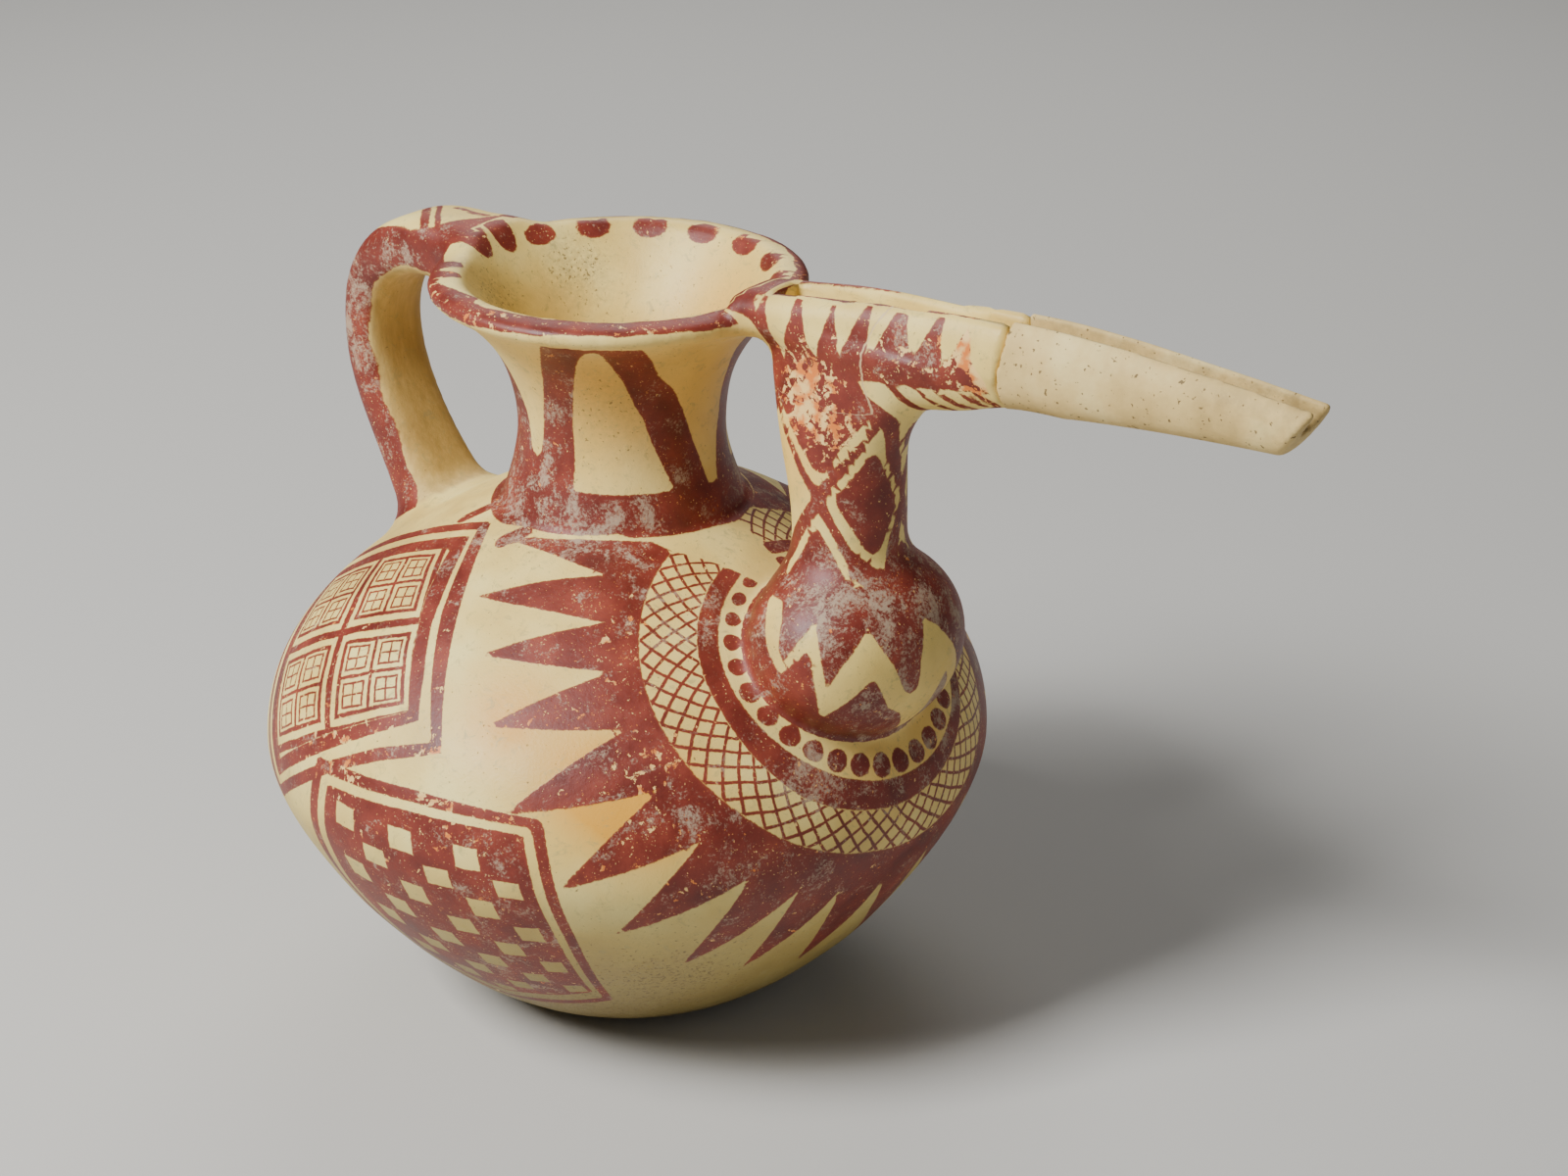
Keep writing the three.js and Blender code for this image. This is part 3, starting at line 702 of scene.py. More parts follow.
def mouth_paint(p):
    """Red rim with a cream underside, round spots that hang from it inside the mouth, and finger
    strokes beside the handle."""
    turn = np.degrees(np.arctan2(p[:, 1], p[:, 0]))
    radius = np.hypot(p[:, 0], p[:, 1])
    ragged = 0.5 * np.sin(np.radians(turn * 13)) + 0.5 * np.sin(np.radians(turn * 29 + 40))
    inner = radius - np.interp(turn, *zip(*RIM_INNER)) - 0.45 * ragged
    low = p[:, 2] - np.interp(turn, *zip(*RIM_LOW)) + 0.25 * ragged
    top = np.where(p[:, 2] > 158, np.minimum(inner, low * 1.2), UNPAINTED)
    period = 22
    around = ((turn - 9.5 + period / 2) % period - period / 2) * 0.57
    spots = (1 - np.hypot(around / 3.9, (p[:, 2] - 162.6) / 1.95)) * 2
    spots = np.where((radius < 35.2) & (turn > 12) & (turn < 172), spots, UNPAINTED)
    around = np.where(turn > 90, turn - 360, turn)
    fingers = np.maximum.reduce([
        stroke(around * 0.63, radius, [((a - 360 if a > 90 else a) * 0.63, r) for a, r in line], half)
        for line, half in RIM_FINGERS
    ])
    return np.maximum.reduce([top, spots, np.where(p[:, 2] > 158, fingers, UNPAINTED)])


HUMP_CREAM = [
    (-36, -1), (-31, -5), (-24, -7.6), (-16, -8.9), (-12, -8.7), (-10, -7), (-8.4, -5), (-5.6, -0.5),
    (-4.6, 3), (-4.6, 14), (-36, 14),
]


def handle_paint(p):
    """Strap: red outer face and sides, a plain inner face, and a cream hump with a forked stroke
    that opens towards the mouth."""
    x, y, z = p[:, 0], p[:, 1], p[:, 2]
    offset = look_up(OFFSET_TABLE, x, z)
    from_rim = look_up(PLACE_TABLE, x, z) - WHOLE_HANDLE
    cream = np.where(offset > 1.5, outline_distance(from_rim, y, HUMP_CREAM), UNPAINTED)
    drawn = np.maximum.reduce([
        stroke(from_rim, y, [(-14.2, 3.6), (-10, 2.7), (-6, 3)], 0.9),
        stroke(from_rim, y, [(-9.6, -7.6), (-7.6, -4), (-5, 1)], 1.1),
        stroke(from_rim, y, [(-36, -4.6), (-31, -1.6), (-26, 0.4)], 0.7),
    ])
    inside_face = offset + 3.9 + 0.3 * np.sin(from_rim * 0.4) + 0.12 * np.sin(from_rim * 1.9 + 1)
    inside_face = np.where(from_rim > -4, LAYER_REACH, inside_face)
    return np.minimum(inside_face, np.maximum(-cream, drawn))


def hump_bars(p):
    """Place across the two slanting bars on the hump: the way along the strap plus three quarters of
    the way across it, in millimetres square to the bars."""
    offset = look_up(OFFSET_TABLE, p[:, 0], p[:, 2])
    from_rim = look_up(PLACE_TABLE, p[:, 0], p[:, 2]) - WHOLE_HANDLE
    return np.where(offset > 1.5, (from_rim + 12.2 + 0.767 * (p[:, 1] + 9)) / 1.26, LAYER_REACH)


def spread(p, spots):
    """Soft patches: for each spot, a bell over the distance from its centre, all added up."""
    return sum(
        strength * np.exp(-np.sum((p - np.array(centre)) ** 2, axis=1) / radius ** 2)
        for centre, radius, strength in spots
    )


CHIPPED = [
    ((57, -10, 156), 7, 1.2), ((56, -10, 149), 8, 1.5), ((65, -10, 145), 7, 1.1), ((-5, -78, 82), 10, 0.55),
    ((8, -77, 81), 8, 0.55), ((28, -66, 86), 8, 0.5), ((52, -55, 66), 10, 0.4), ((-40, -66, 86), 9, 0.6),
    ((92, -4, 173), 7, 1.2), ((97, -6, 168), 7, 1.5), ((98, -5, 164), 6, 1.2), ((0, -39, 163), 14, 0.6),
    ((-24, -30, 163), 12, 0.6), ((30, -26, 163), 10, 0.6), ((-22, -74, 78), 9, 0.8), ((20, -75, 72), 10, 0.8),
    ((-30, -62, 98), 9, 0.45), ((50, -50, 82), 8, 0.9), ((31, -38, 102), 8, 0.6), ((11, -70, 83), 8, 0.7),
    ((-9, -76, 71), 10, 0.8), ((80, -7, 166), 9, 0.6), ((25, -60, 90), 9, 0.5),
]
BLOOM = [
    ((5, -25, 114), 16, 0.9), ((-10, -27, 118), 12, 0.7), ((74, -16, 112), 13, 0.9),
    ((60, -20, 112), 11, 0.8),
    ((80, -8, 80), 15, 0.9), ((86, 8, 92), 14, 0.7), ((-66, -8, 147), 13, 0.75), ((-54, -11, 157), 8, 0.7),
    ((-69, -6, 130), 20, 0.5), ((38, -26, 104), 10, 0.8), ((66, -45, 70), 16, 0.55), ((0, -24, 140), 10, 0.5),
    ((20, -20, 122), 12, 0.6), ((84, -5, 166), 10, 0.6), ((20, -62, 30), 24, 0.5), ((78, 3, 106), 12, 0.8),
    ((73, -23, 75), 8, 0.9),
]
FLUSH = [
    ((53, -53, 76), 10, 1.8), ((42, -60, 80), 11, 1.2), ((22, -61, 90), 11, 0.8), ((12, -25, 150), 14, 0.4),
    ((56, -10, 140), 10, 0.5), ((80, -10, 76), 14, 0.5), ((58, -16, 99), 9, 0.3), ((19, 24, 160), 16, 0.8),
    ((-3, 25, 155), 18, 0.5), ((22, 0, 150), 20, 0.35), ((14, -25, 138), 18, 0.35),
    ((30, -40, 84), 22, 0.2), ((66, -9, 156), 5, 0.6),
]
# Dark patches, mostly painted shade: at the base and low on the body, on the neck's front and foot, under the
# rim by the handle, in the creases by the pouch, and inside the mouth.
GRIME_AND_SHADE = [
    ((30, -40, 10), 30, 0.9), ((0, -45, 8), 26, 0.6), ((52, -44, 32), 16, 0.7), ((0, 0, 140), 20, 0.2),
    ((-24, -13, 155), 9, 0.9), ((84, -6, 82), 9, 0.5),
    ((14, -24, 142), 16, 0.5), ((62, -22, 106), 8, 0.3), ((-5, -27, 116), 14, 0.4),
]


def paint_layers(p):
    """All painted layers of the jar at its mesh's points, as named lists of values. Each of the
    joined forms keeps its own decoration as far as the line where the next form comes nearer, and
    a hollow wears none."""
    spout = np.minimum(egg_field(p, np.array(POUCH_HALF)), column_field(p))
    forms = np.stack([vessel_field(p), np.minimum(spout, beak_field(p)), handle_field(p)])
    others = [np.minimum(forms[a], forms[b]) for a, b in ((1, 2), (0, 2), (0, 1))]
    own = np.stack(others) - forms
    z = p[:, 2]
    turn, length = wall_place(p)
    within = np.minimum.reduce([cavity_field(p), bore_field(p), trough_field(p)]) < 1.3
    radius = ring_radius(p)
    inner_radius = ring_radius(p, RING_CENTRE + INNER_SHIFT)
    hatch_inner, hatch_outer = hatch_edges(p)
    off_bare = off_bare_sector(p)
    star_top = np.interp(turn, *zip(*STAR_TOP)) - length
    ring = np.minimum.reduce([inner_radius - RED_RING_START, hatch_inner - radius, off_bare])
    star = np.minimum.reduce([star_paint(p), np.maximum(off_bare, radius - 50), star_top])
    body = np.maximum.reduce([star, ring, foot_strokes(p)])
    body = np.where(length < NECK_FOOT + 2.5, body, UNPAINTED)
    collar = np.where(length > NECK_FOOT - LAYER_REACH, neck_paint(p), UNPAINTED)
    collar = np.where(z > 159.2, mouth_paint(p), collar)
    reds = [body, np.minimum.reduce([pouch_paint(p), column_paint(p), beak_paint(p)]), handle_paint(p)]
    red = np.maximum.reduce([np.minimum(paint, share + 0.8) for paint, share in zip(reds, own)])
    collar = np.minimum(collar, own[0] + 0.8)
    lip_inside = within & (z > 157) & (np.hypot(p[:, 0], p[:, 1]) < 45)
    red = np.where(within, UNPAINTED, red)
    collar = np.where(lip_inside, mouth_paint(p), np.where(within, UNPAINTED, collar))
    on_body = np.where(within, UNPAINTED, np.minimum(own[0] + 0.3, NECK_FOOT - 0.4 - length))
    banded = np.minimum(on_body, off_bare)
    i, j = window_place(p)
    u, v = check_place(p)
    window_side = np.minimum((near_side(p) - MIDDLE) @ WINDOW_FAR - 12, on_body * 6)
    check_side = np.minimum((near_side(p) - MIDDLE) @ CHECK_FAR - 12, on_body * 6)
    inner_face = smooth((-2.6 - look_up(OFFSET_TABLE, p[:, 0], z)) / 1.6) * (own[2] > 0)
    layers = {
        "red": red,
        "collar": collar,
        "hatched": np.minimum.reduce([radius - hatch_inner, hatch_outer - radius, banded]),
        "dotted": np.minimum.reduce([inner_radius - DOTS_START, RED_RING_START - inner_radius, banded]),
        "windows": np.minimum(outline_distance(i, j, WINDOW_FIELD), window_side),
        "thick_frame": np.minimum(outline_distance(i, j, THICK_FRAME), window_side),
        "frame_inner": outline_distance(i, j, FRAME_INNER),
        "frame_outer": np.minimum(outline_distance(i, j, FRAME_OUTER), window_side),
        "checks": np.minimum(outline_distance(u, v, CHECK_FIELD), check_side),
        "check_gap": outline_distance(u, v, CHECK_GAP),
        "check_frame": np.minimum(outline_distance(u, v, CHECK_OUTER), check_side),
        "edging": trough_edge(p),
        "bars": np.where(own[2] > 0, hump_bars(p), LAYER_REACH),
        "mend": np.where(own[1] > 0, mend_place(p), LAYER_REACH),
    }
    layers = {name: np.clip(values, -LAYER_REACH, LAYER_REACH) for name, values in layers.items()}
    patches = {"chipped": CHIPPED, "bloom": BLOOM, "flush": FLUSH, "grime_and_shade": GRIME_AND_SHADE}
    layers.update({name: spread(near_side(p), spots) for name, spots in patches.items()})
    hidden = within & (z < 150)
    layers["bare"] = np.where(hidden, smooth((122 - z) / 16), 0.6 * inner_face)
    return layers


def mend_place(p):
    """How far a place lies past the old mend in the beak: X less the mend's X at its height."""
    past = p[:, 0] - np.interp(p[:, 2], *zip(*((z, x) for x, z in MEND)))
    return np.where((p[:, 1] < 2) & (p[:, 2] > 150), past, LAYER_REACH)


def trough_edge(p):
    """Thin red edging along the beak's two upper edges, worn off at the crack. It reaches a width out
    from the trough and a depth down from the top, each its own on the near and the far edge."""
    top = beak_lines(p[:, 0])[0]
    near, far = (
        np.minimum(width - trough_field(p), p[:, 2] - top + depth)
        for width, depth in (NEAR_EDGING, FAR_EDGING)
    )
    edge = np.where(p[:, 1] > 0, far, near)
    return np.where(p[:, 0] > 44, np.minimum(edge, (95 - p[:, 0]) * 0.5), UNPAINTED)


def make_piece(name, points, faces, layers, material, node):
    """A smooth mesh from points in millimetres and four-sided faces, with one value of each layer
    for every point, that stands for a node of the frame."""
    mesh = bpy.data.meshes.new(name)
    mesh.vertices.add(len(points))
    mesh.vertices.foreach_set("co", (points * MM).astype(np.float32).ravel())
    mesh.loops.add(faces.size)
    mesh.loops.foreach_set("vertex_index", faces.astype(np.int32).ravel())
    mesh.polygons.add(len(faces))
    mesh.polygons.foreach_set("loop_start", np.arange(0, faces.size, 4, dtype=np.int32))
    mesh.polygons.foreach_set("use_smooth", np.ones(len(faces), bool))
    mesh.update(calc_edges=True)
    mesh.validate()
    for layer, values in layers.items():
        mesh.attributes.new(layer, "FLOAT", "POINT").data.foreach_set("value", values.astype(np.float32))
    mesh.materials.append(material)
    piece = bpy.data.objects.new(name, mesh)
    bpy.context.scene.collection.objects.link(piece)
    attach(piece, "root")
    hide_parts(node)
    return piece


def colour(code):
    """An sRGB hex colour as linear red, green, blue and full alpha."""
    parts = [int(code[i:i + 2], 16) / 255 for i in (1, 3, 5)]
    return (*(c / 12.92 if c <= 0.04045 else ((c + 0.055) / 1.055) ** 2.4 for c in parts), 1)


def put(tree, kind, *inputs, out=0, named=(), stops=(), **settings):
    """Adds a node with its settings and links, and returns one of its outputs. The kind may carry an
    operation. An input is a value, another node's output, or None where the node's own stays."""
    kind, _, operation = kind.partition(" ")
    node = tree.nodes.new("ShaderNode" + kind)
    if operation:
        node.operation = operation
    for key, value in settings.items():
        setattr(node, key, value)
    for key, value in [*enumerate(inputs), *dict(named).items()]:
        if isinstance(value, bpy.types.NodeSocket):
            tree.links.new(value, node.inputs[key])
        elif value is not None:
            node.inputs[key].default_value = value
    for _ in stops[2:]:
        node.color_ramp.elements.new(0.5)
    for element, (place, code) in zip(node.color_ramp.elements if stops else (), stops):
        element.position, element.color = place, colour(code)
    return node.outputs[out] if node.outputs else node


def new_material(name):
    """An empty node material."""
    material = bpy.data.materials.new(name)
    material.use_nodes = True
    material.node_tree.nodes.clear()
    return material, material.node_tree


def drawn_red(t, drawn, layer):
    """Signed distance to all the red paint, in millimetres, positive on the red: the mesh's own
    layers, joined with the ruled patterns, which are folded from the places of their panels."""

    def greatest(*values):
        best = values[0]
        for value in values[1:]:
            best = put(t, "Math MAXIMUM", best, value)
        return best

    def folded(value, centre, period):
        """Distance from the nearest of evenly spaced centres."""
        shifted = put(t, "Math ADD", value, period * 0.5 - centre)
        turned = put(t, "Math FLOORED_MODULO", shifted, period)
        return put(t, "Math ABSOLUTE", put(t, "Math SUBTRACT", turned, period * 0.5))

    def within(inner, outer):
        return put(t, "Math MINIMUM", outer, put(t, "Math MULTIPLY", inner, -1.0))

    # Hatching: two families of lines across the ring, 1 mm wide and 4.4 mm apart along it, drawn
    # wider apart and flatter at its foot.
    from_ring = put(t, "VectorMath SUBTRACT", drawn, tuple(RING_CENTRE))
    down = put(t, "VectorMath DOT_PRODUCT", from_ring, tuple(DOWNHILL), out=1)
    side = put(t, "VectorMath DOT_PRODUCT", from_ring, (0, -1, 0), out=1)
    out_of = put(t, "VectorMath DOT_PRODUCT", from_ring, tuple(RING_AXIS), out=1)
    long_down = put(t, "Math MULTIPLY", down, DOWNHILL_STRETCH)
    radial = put(t, "VectorMath LENGTH", put(t, "CombineXYZ", long_down, side, out_of), out=1)
    turn = put(t, "Math ARCTAN2", side, down)
    low_turn = put(t, "Math MAXIMUM", put(t, "Math MINIMUM", turn, math.pi / 2), -math.pi / 2)
    eased = put(t, "Math SUBTRACT", turn, put(t, "Math MULTIPLY", put(t, "Math SINE", low_turn), 0.17))
    along = put(t, "Math MULTIPLY", eased, HATCH_MIDDLE)
    skew = put(t, "Math MULTIPLY_ADD", put(t, "Math COSINE", low_turn), 0.35, 1.0)
    across = put(t, "Math MULTIPLY", put(t, "Math SUBTRACT", radial, HATCH_MIDDLE), skew)
    one_way = folded(put(t, "Math ADD", along, across), 0.9, HATCH_PERIOD)
    other_way = folded(put(t, "Math SUBTRACT", along, across), 0, HATCH_PERIOD)
    hatch = put(t, "Math SUBTRACT", 0.5, put(t, "Math MINIMUM", one_way, other_way))
    # Dots: 27 round the pouch, about 4.5 mm across, larger and nearer the pouch at its foot.
    dot_turn = folded(put(t, "Math DEGREES", turn), 4.4, 13.33)
    around = put(t, "Math DIVIDE", dot_turn, put(t, "Math MULTIPLY_ADD", down, 0.035, 5.0))
    outwards = put(t, "VectorMath NORMALIZE", from_ring)
    off_shift = put(t, "VectorMath DOT_PRODUCT", outwards, tuple(INNER_SHIFT), out=1)
    from_middle = put(t, "Math SUBTRACT", put(t, "Math SUBTRACT", radial, off_shift), 27.6)
    from_middle = put(t, "Math MULTIPLY_ADD", down, 0.012, from_middle)
    from_middle = put(t, "Math DIVIDE", from_middle, put(t, "Math MULTIPLY_ADD", down, 0.022, 1.95))
    reach = put(t, "VectorMath LENGTH", put(t, "CombineXYZ", around, from_middle, 0.0), out=1)
    dots = put(t, "Math MULTIPLY", put(t, "Math SUBTRACT", 1.0, reach), 2.4)
    # Windows: red bars round cells of 27.6 mm by 28.2 mm, a frame and a cross in each, and in each
    # quarter a small ruled square with a fine cross.
    parts = put(t, "SeparateXYZ", drawn).node.outputs
    near_y = put(t, "Math MULTIPLY", put(t, "Math ABSOLUTE", parts[1]), -1.0)
    near = put(t, "CombineXYZ", parts[0], near_y, parts[2])
    from_body = put(t, "VectorMath SUBTRACT", near, tuple(map(float, MIDDLE)))
    window_place, check_place = (
        [
            put(
                t, "Math DIVIDE",
                put(t, "VectorMath DOT_PRODUCT", from_body, tuple(way), out=1),
                put(t, "VectorMath DOT_PRODUCT", from_body, tuple(far), out=1),
            )
            for way in ways
        ]
        for ways, far in (
            ((WINDOW_ACROSS, WINDOW_UP), WINDOW_FAR),
            ((CHECK_ACROSS * CHECK_REACH, CHECK_UP * CHECK_REACH), CHECK_FAR),
        )
    )
    a = folded(window_place[0], -12.8, WINDOW_CELL[0])
    b = folded(window_place[1], -12.0, WINDOW_CELL[1])
    edge = greatest(put(t, "Math SUBTRACT", a, 11.2), put(t, "Math SUBTRACT", b, 10.9))
    rails = greatest(put(t, "Math SUBTRACT", a, 12.7), put(t, "Math SUBTRACT", b, 12.9))
    outline = put(t, "Math SUBTRACT", 0.65, put(t, "Math ABSOLUTE", put(t, "Math ADD", edge, 0.65)))
    cross = within(edge, put(t, "Math SUBTRACT", 0.55, put(t, "Math MINIMUM", a, b)))
    small_a = put(t, "Math ABSOLUTE", put(t, "Math SUBTRACT", a, 5.4))
    small_b = put(t, "Math ABSOLUTE", put(t, "Math SUBTRACT", b, 5.3))
    small_edge = put(t, "Math SUBTRACT", greatest(small_a, small_b), 3.3)
    small = put(t, "Math SUBTRACT", 0.36, put(t, "Math ABSOLUTE", small_edge))
    small_cross = within(small_edge, put(t, "Math SUBTRACT", 0.3, put(t, "Math MINIMUM", small_a, small_b)))
    windows = greatest(rails, outline, cross, small, small_cross)
    # Checks: cream oblongs of 6 mm by 5.3 mm on red, 8.5 mm apart in rows 7.45 mm apart, every other one.
    leaned = put(t, "Math ADD", check_place[0], put(t, "Math MULTIPLY", check_place[1], 0.15))
    check_row = put(t, "Math ADD", check_place[1], put(t, "MapRange", check_place[1], 13.0, 20.0, 0.0, 1.7))
    rows = [
        greatest(
            put(t, "Math SUBTRACT", folded(leaned, across, CHECK_PERIOD[0]), 3.0),
            put(t, "Math SUBTRACT", folded(check_row, up, CHECK_PERIOD[1]), 2.65),
        )
        for across, up in ((4.2, 8.3), (12.7, 0.85))
    ]
    past_top = put(t, "Math SUBTRACT", check_row, 27.0)
    past_sides = put(t, "Math SUBTRACT", put(t, "Math ABSOLUTE", put(t, "Math SUBTRACT", leaned, 8.2)), 25.7)
    check_edge = greatest(put(t, "Math SUBTRACT", 1.0, layer["checks"]), past_top, past_sides)
    # Two bars on the handle's hump, 1.9 mm and 1.2 mm wide.
    bars = greatest(*(
        put(t, "Math SUBTRACT", half, put(t, "Math ABSOLUTE", put(t, "Math SUBTRACT", layer["bars"], place)))
        for place, half in ((0.0, 0.95), (2.5, 0.6))
    ))
    return greatest(
        layer["red"], layer["collar"], layer["edging"], bars,
        within(layer["windows"], layer["thick_frame"]),
        within(layer["frame_inner"], layer["frame_outer"]),
        within(layer["check_gap"], layer["check_frame"]),
        put(t, "Math MINIMUM", layer["hatched"], hatch),
        put(t, "Math MINIMUM", layer["dotted"], dots),
        put(t, "Math MINIMUM", layer["windows"], windows),
        put(t, "Math MINIMUM", layer["checks"], greatest(put(t, "Math MINIMUM", *rows), check_edge)),
    )


def painted_clay():
    """Fired clay, cream-slipped, painted with iron-red slip and burnished: a soft sheen, brush-drawn
    red of uneven depth, granular pale bloom, orange body clay where the paint has flaked."""
    material, t = new_material("fired_clay_painted_burnished")
    coord = put(t, "TexCoord", out=3)
    mm = put(t, "VectorMath SCALE", coord, named={3: 1000.0})
    names = (
        "red", "collar", "edging", "hatched", "dotted", "windows", "thick_frame", "frame_inner",
        "frame_outer", "checks", "check_gap", "check_frame", "mend", "bars", "chipped", "bloom", "flush",
        "grime_and_shade", "bare",
    )
    layer = {name: put(t, "Attribute", attribute_name=name, out=2) for name in names}
    # Hand wobble of drawn lines: about 0.2 mm over 7 mm.
    slow = put(t, "TexNoise", named={"Vector": mm, "Scale": 0.14, "Detail": 1.0}, out=1)
    slow = put(t, "VectorMath SCALE", put(t, "VectorMath SUBTRACT", slow, (0.5, 0.5, 0.5)), named={3: 0.75})
    drawn = put(t, "VectorMath ADD", mm, slow)
    # Brush edges fray by about 0.2 mm.
    fine = put(t, "TexNoise", named={"Vector": mm, "Scale": 0.9, "Detail": 4.0, "Roughness": 0.65})
    frayed = put(t, "Math MULTIPLY_ADD", fine, 0.75, -0.375)
    depth = put(t, "Math ADD", drawn_red(t, drawn, layer), frayed)

    # Flakes from 0.3 mm specks to 3 mm patches, denser inside the worn places and at thin edges.
    flake_noise = put(
        t, "TexNoise",
        named={"Vector": mm, "Scale": 0.5, "Detail": 4.0, "Roughness": 0.62, "Distortion": 0.3},
    )
    speck_noise = put(t, "TexNoise", named={"Vector": mm, "Scale": 1.9, "Detail": 2.0, "Roughness": 0.6})
    clump = put(t, "TexNoise", named={"Vector": mm, "Scale": 0.09, "Detail": 2.0})
    worn = put(t, "Math MULTIPLY_ADD", layer["chipped"], 0.12, -0.672)
    flaked = put(t, "Math ADD", flake_noise, worn)
    specks = put(t, "Math ADD", speck_noise, put(t, "Math MULTIPLY_ADD", clump, 0.16, -0.765))
    flakes = put(t, "Math MAXIMUM", flaked, specks)
    kept = put(t, "MapRange", flakes, 0.0, 0.014, 1.0, 0.0)
    painted = put(t, "Math MULTIPLY", put(t, "MapRange", depth, -0.1, 0.12, 0.0, 1.0), kept)

    # Cream slip with a warm flush where the fire coloured it. It turns darker and greener towards the bottom:
    # partly the slip's own tint, partly painted shade.
    cloud = put(t, "TexNoise", named={"Vector": mm, "Scale": 0.045, "Detail": 3.0, "Roughness": 0.55})
    cream = put(t, "ValToRGB", cloud, stops=[(0.32, "#dcbc68"), (0.5, "#efd37a"), (0.68, "#f8e492")])
    height = put(t, "SeparateXYZ", mm, out=2)
    # Painted shade, partly the slip's own greener tint: the cream darkens from 72 mm down to 12 mm height.
    low_tint_and_shade = put(t, "MapRange", height, 72.0, 12.0, 0.0, 0.9)
    warm = put(t, "Math MULTIPLY", layer["flush"], put(t, "MapRange", cloud, 0.3, 0.6, 0.55, 1.1))
    streak_place = put(t, "Mapping", mm, named={"Scale": (0.9, 0.9, 0.12)})
    streak = put(t, "TexNoise", named={"Vector": streak_place, "Scale": 0.5, "Detail": 4.0, "Roughness": 0.7})
    bare = put(t, "ValToRGB", streak, stops=[(0.3, "#8d6a38"), (0.52, "#b08a50"), (0.72, "#cdac70")])
    smear_noise = put(
        t, "TexNoise",
        named={"Vector": mm, "Scale": 0.34, "Detail": 5.0, "Roughness": 0.75, "Distortion": 0.8},
    )
    smears = put(t, "MapRange", smear_noise, 0.555, 0.68, 0.0, 0.55)
    # Dark pits, gathered more thickly by the grime and shade patches, and a dull brown tint over those
    # patches: partly dirt, partly painted shade.
    pit_noise = put(t, "TexNoise", named={"Vector": mm, "Scale": 1.25, "Detail": 3.0, "Roughness": 0.55})
    pits_and_shade = put(t, "Math ADD", pit_noise, put(t, "Math MULTIPLY", layer["grime_and_shade"], 0.13))
    pits_and_shade_mask = put(t, "MapRange", pits_and_shade, 0.69, 0.74, 0.0, 0.75)
    grime_and_shade_tint = put(t, "Math MULTIPLY", layer["grime_and_shade"], put(t, "MapRange", fine, 0.35, 0.7, 0.1, 0.6))
    for share, over in (
        (low_tint_and_shade, colour("#756230")), (warm, colour("#e8a83a")), (layer["bare"], bare),
        (smears, colour("#a89c68")), (pits_and_shade_mask, colour("#6a5632")), (grime_and_shade_tint, colour("#94814f")),
    ):
        cream = put(t, "Mix", named={0: share, 6: cream, 7: over}, data_type="RGBA", out=2)

    # Flaked spots show the orange body clay or the pale slip.
    clay_noise = put(t, "TexNoise", named={"Vector": mm, "Scale": 0.3, "Detail": 3.0})
    clay_share = put(t, "MapRange", clay_noise, 0.44, 0.58, 0.0, 1.0)
    flake_colours = {6: colour("#f0c67c"), 7: colour("#dc7a30")}
    flake_colour = put(t, "Mix", named={0: clay_share, **flake_colours}, data_type="RGBA", out=2)
    in_red = put(t, "MapRange", depth, 0.0, 0.4, 0.0, 1.0)
    lost = put(t, "Math MULTIPLY", in_red, put(t, "Math SUBTRACT", 1.0, kept))
    ground = put(t, "Mix", named={0: lost, 6: cream, 7: flake_colour}, data_type="RGBA", out=2)

    # Iron-red slip, thin and orange at its edges, brick to maroon within.
    tone = put(t, "TexNoise", named={"Vector": mm, "Scale": 0.09, "Detail": 5.0, "Roughness": 0.65})
    red = put(t, "ValToRGB", tone, stops=[(0.3, "#5f2018"), (0.5, "#792d21"), (0.7, "#933e2c")])
    thin = put(t, "MapRange", depth, 0.1, 0.5, 0.3, 0.0)
    red = put(t, "Mix", named={0: thin, 6: red, 7: colour("#a04c26")}, data_type="RGBA", out=2)
    # Bloom: grains of 0.3 mm gathered in smears some 8 mm long.
    grains = put(t, "TexNoise", named={"Vector": mm, "Scale": 1.5, "Detail": 4.0, "Roughness": 0.75})
    smear_patch = put(
        t, "TexNoise",
        named={"Vector": mm, "Scale": 0.17, "Detail": 5.0, "Roughness": 0.7, "Distortion": 0.5},
    )
    dust = put(t, "Math MULTIPLY_ADD", grains, 0.55, put(t, "Math MULTIPLY", smear_patch, 0.75))
    dust = put(t, "Math MULTIPLY_ADD", layer["bloom"], 0.115, dust)
    dust_mask = put(t, "MapRange", dust, 0.73, 0.85, 0.0, 0.75)
    red = put(t, "Mix", named={0: dust_mask, 6: red, 7: colour("#b9a58a")}, data_type="RGBA", out=2)
    surface = put(t, "Mix", named={0: painted, 6: ground, 7: red}, data_type="RGBA", out=2)
    # The old mend: a pale thread of filler, 0.6 mm wide.
    from_mend = put(t, "Math ADD", put(t, "Math MULTIPLY_ADD", fine, 0.9, -0.45), layer["mend"])
    mend = put(t, "MapRange", put(t, "Math ABSOLUTE", from_mend), 0.15, 0.32, 0.8, 0.0)
    surface = put(t, "Mix", named={0: mend, 6: surface, 7: colour("#d8b98a")}, data_type="RGBA", out=2)

